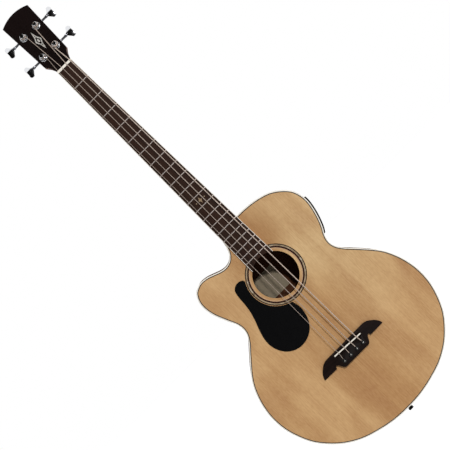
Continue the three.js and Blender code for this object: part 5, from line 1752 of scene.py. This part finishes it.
class BASS_OT_preamp(bpy.types.Operator):
    """Adds the preamp's panel on the bass side"""

    bl_idname = "bass.preamp"
    bl_label = "Preamp"

    def execute(self, context):
        sizes = context.scene.bass_electrics
        high = body_top() - sizes.top
        low = high - sizes.long
        back = sizes.front + sizes.tall
        panel = rounded(rim_block(high, low, sizes.proud, 0, (sizes.front, back)), 0.6 * MM)
        rim, lap = sizes.rim, sizes.rim - 0.1 * MM
        room = rim_block(high - rim, low + rim, 12 * MM, -2 * MM, (sizes.front + rim, back - rim))
        floor = rim_block(high - lap, low + lap, sizes.floor, 0, (sizes.front + lap, back - lap))
        shape = joined(cut(panel, room), cut(floor, button_room()), button_cup(CUP_WALL - 0.04 * MM))
        add_piece("preamp_panel", shape, "plastic", replaces=["preamp"])
        wall, margin = context.scene.bass_body.wall + 0.1 * MM, 6 * MM
        depths = (sizes.front + margin, back - margin)
        chassis = rim_block(high - margin, low + margin, -wall, -30 * MM, depths)
        add_piece("preamp_chassis", cut(rounded(chassis, 1.2 * MM), button_room()), "plastic")
        self.add_window_and_door(sizes, high)
        return {"FINISHED"}

    def add_window_and_door(self, sizes, high):
        """The display's window and frame, the battery's door with its catch, and a lamp."""
        foot, face = -0.4 * MM, sizes.floor

        def tile(first, last, depths, proud, edge):
            shape = rim_block(high - first * MM, high - last * MM, face + proud * MM, foot,
                              [depth * MM for depth in depths])
            return rounded(shape, edge * MM, 2)

        add_piece("display_frame", tile(9, 33, (53, 69), 0.5, 0.3), "gloss")
        add_piece("display_glass", tile(11, 31, (55, 67), 0.6, 0.2), "window")
        door = joined(tile(51, 80, (51, 70), 0.8, 0.4), tile(53, 55, (56, 65), 1.4, 0.3))
        add_piece("battery_door", door, "plastic")
        add_piece("display_lamp", tile(37, 38.6, (64, 65.6), 0.6, 0.3), "lamp")


class BASS_OT_controls(bpy.types.Operator):
    """Adds the preamp's knobs and its tuner button"""

    bl_idname = "bass.controls"
    bl_label = "Knobs and button"

    def execute(self, context):
        sizes = context.scene.bass_electrics
        for name in CONTROL_PLACES:
            is_button = name == "tuner_button"
            radius, ridges = (sizes.button, 36) if is_button else (sizes.knob, 60)
            axis, top = control_axis(name), sizes.lift + sizes.knob_height
            spindle = rod(sizes.spindle, -2 * MM, top - 0.5 * MM, axis, 24)
            grip = [p * (1 if i % 2 else 0.94) for i, p in enumerate(ring(radius, steps=ridges))]
            cap = rounded(slab(grip, sizes.lift, top, axis), 0.25 * MM, 2, 60)
            add_piece(f"{name}_cap", joined(spindle, cap), "gloss", body=name,
                      replaces=[name])
            if not is_button:
                line = oblong((-0.35 * MM, 0.35 * MM), (radius * 0.35, radius * 0.88))
                pointer = slab(line, top - 0.2 * MM, top + 0.04 * MM, axis)
                add_piece(f"{name}_pointer", pointer, "ivory", body=name)
        return {"FINISHED"}


class BASS_OT_end_pin(bpy.types.Operator):
    """Adds the end pin with its jack socket, and the strap button on the heel"""

    bl_idname = "bass.end_pin"
    bl_label = "End pin and strap button"

    def execute(self, context):
        sizes, neck = context.scene.bass_electrics, context.scene.bass_neck
        wide, waist, proud = sizes.pin_radius, sizes.pin_waist, sizes.pin_proud
        bore, bore_end = sizes.pin_bore, sizes.pin_proud - sizes.pin_bore_length
        profile = [
            (bore, proud), (wide - 0.6 * MM, proud), (wide, proud - 0.6 * MM), (wide, proud - 4 * MM),
            (waist, proud - 6.4 * MM), (waist, 4 * MM), (wide, 2 * MM), (wide, AIR), (sizes.barrel, AIR),
            (sizes.barrel, -sizes.barrel_length), (0, -sizes.barrel_length), (0, bore_end), (bore, bore_end),
        ]
        axis = along_axis((0, sizes.pin_depth, body_top() - context.scene.bass_body.length), (0, 0, -1))
        add_piece("end_pin", turned(profile, axis, 40), "gloss",
                  replaces=["end_pin_jack"])
        wide, waist, tall = sizes.strap_radius, sizes.strap_waist, sizes.strap_height
        screw, screw_end, dip = 2 * MM, -16 * MM, tall - 0.8 * MM
        profile = [
            (0, screw_end), (screw, screw_end), (screw, 0), (wide - 0.5 * MM, 0), (wide, 0.5 * MM),
            (wide, 1.5 * MM), (waist, 3.5 * MM), (waist, tall - 3.5 * MM), (wide - 0.4 * MM, tall - 2.2 * MM),
            (wide, tall - 1.5 * MM), (wide - 0.3 * MM, tall - 0.4 * MM), (wide - 1.2 * MM, tall),
            (2.4 * MM, tall), (2 * MM, dip), (0, dip),
        ]
        axis = along_axis((0, neck.heel_depth, heel_foot() + neck.cap_reach / 2), (0, 1, 0))
        add_piece("strap_stud", turned(profile, axis, 40), "chrome", replaces=["strap_button"])
        return {"FINISHED"}


class BASS_OT_inner_parts(bpy.types.Operator):
    """Gives the CAD pieces inside the box and the neck their finishes"""

    bl_idname = "bass.inner_parts"
    bl_label = "Inner pieces"

    def execute(self, context):
        spruce = ["top_lining_bass", "back_lining_bass", "top_lining_treble", "back_lining_treble",
                  "cross_brace_bass", "cross_brace_treble", "transverse_brace", "tone_bar"]
        raw = ["neck_block", "end_block", "bridge_plate", "back_brace_upper", "back_brace_lower"]
        rod_pieces = ["truss_rod", "truss_rod_nut"]
        for finish, names in (("bracing", spruce), ("raw_mahogany", raw), ("steel", rod_pieces)):
            for name in names:
                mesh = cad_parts[name].data
                mesh.materials.clear()
                mesh.materials.append(material_for(finish))
        return {"FINISHED"}


PIECES = [
    BASS_OT_soundboard, BASS_OT_bindings, BASS_OT_sides, BASS_OT_back, BASS_OT_rosette,
    BASS_OT_pickguard, BASS_OT_bridge, BASS_OT_bridge_pins, BASS_OT_neck, BASS_OT_overlay,
    BASS_OT_fingerboard, BASS_OT_frets, BASS_OT_nut, BASS_OT_strings, BASS_OT_tuners,
    BASS_OT_preamp, BASS_OT_controls, BASS_OT_end_pin, BASS_OT_inner_parts, BASS_OT_stage,
]


class BASS_PT_pieces(bpy.types.Panel):
    """Lists the pieces in the order in which they are made"""

    bl_label = "Acoustic bass guitar"
    bl_idname = "BASS_PT_pieces"
    bl_space_type = "VIEW_3D"
    bl_region_type = "UI"
    bl_category = "Bass"

    def draw(self, context):
        for piece in PIECES:
            self.layout.operator(piece.bl_idname)


SETTINGS = {
    "bass_body": BassBodySizes, "bass_neck": BassNeckSizes, "bass_strings": BassStringSizes,
    "bass_tuners": BassTunerSizes, "bass_electrics": BassElectricsSizes,
    "bass_finishes": BassFinishes, "bass_stage": BassStageSettings,
}


def register():
    for cls in (*SETTINGS.values(), *PIECES, BASS_PT_pieces):
        bpy.utils.register_class(cls)
    for name, group in SETTINGS.items():
        setattr(bpy.types.Scene, name, PointerProperty(type=group))


def unregister():
    for name in SETTINGS:
        delattr(bpy.types.Scene, name)
    for cls in reversed((*SETTINGS.values(), *PIECES, BASS_PT_pieces)):
        bpy.utils.unregister_class(cls)


def main():
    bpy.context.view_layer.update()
    register()
    for piece in PIECES:
        group, action = piece.bl_idname.split(".")
        getattr(getattr(bpy.ops, group), action)()


if __name__ == "__main__":
    main()
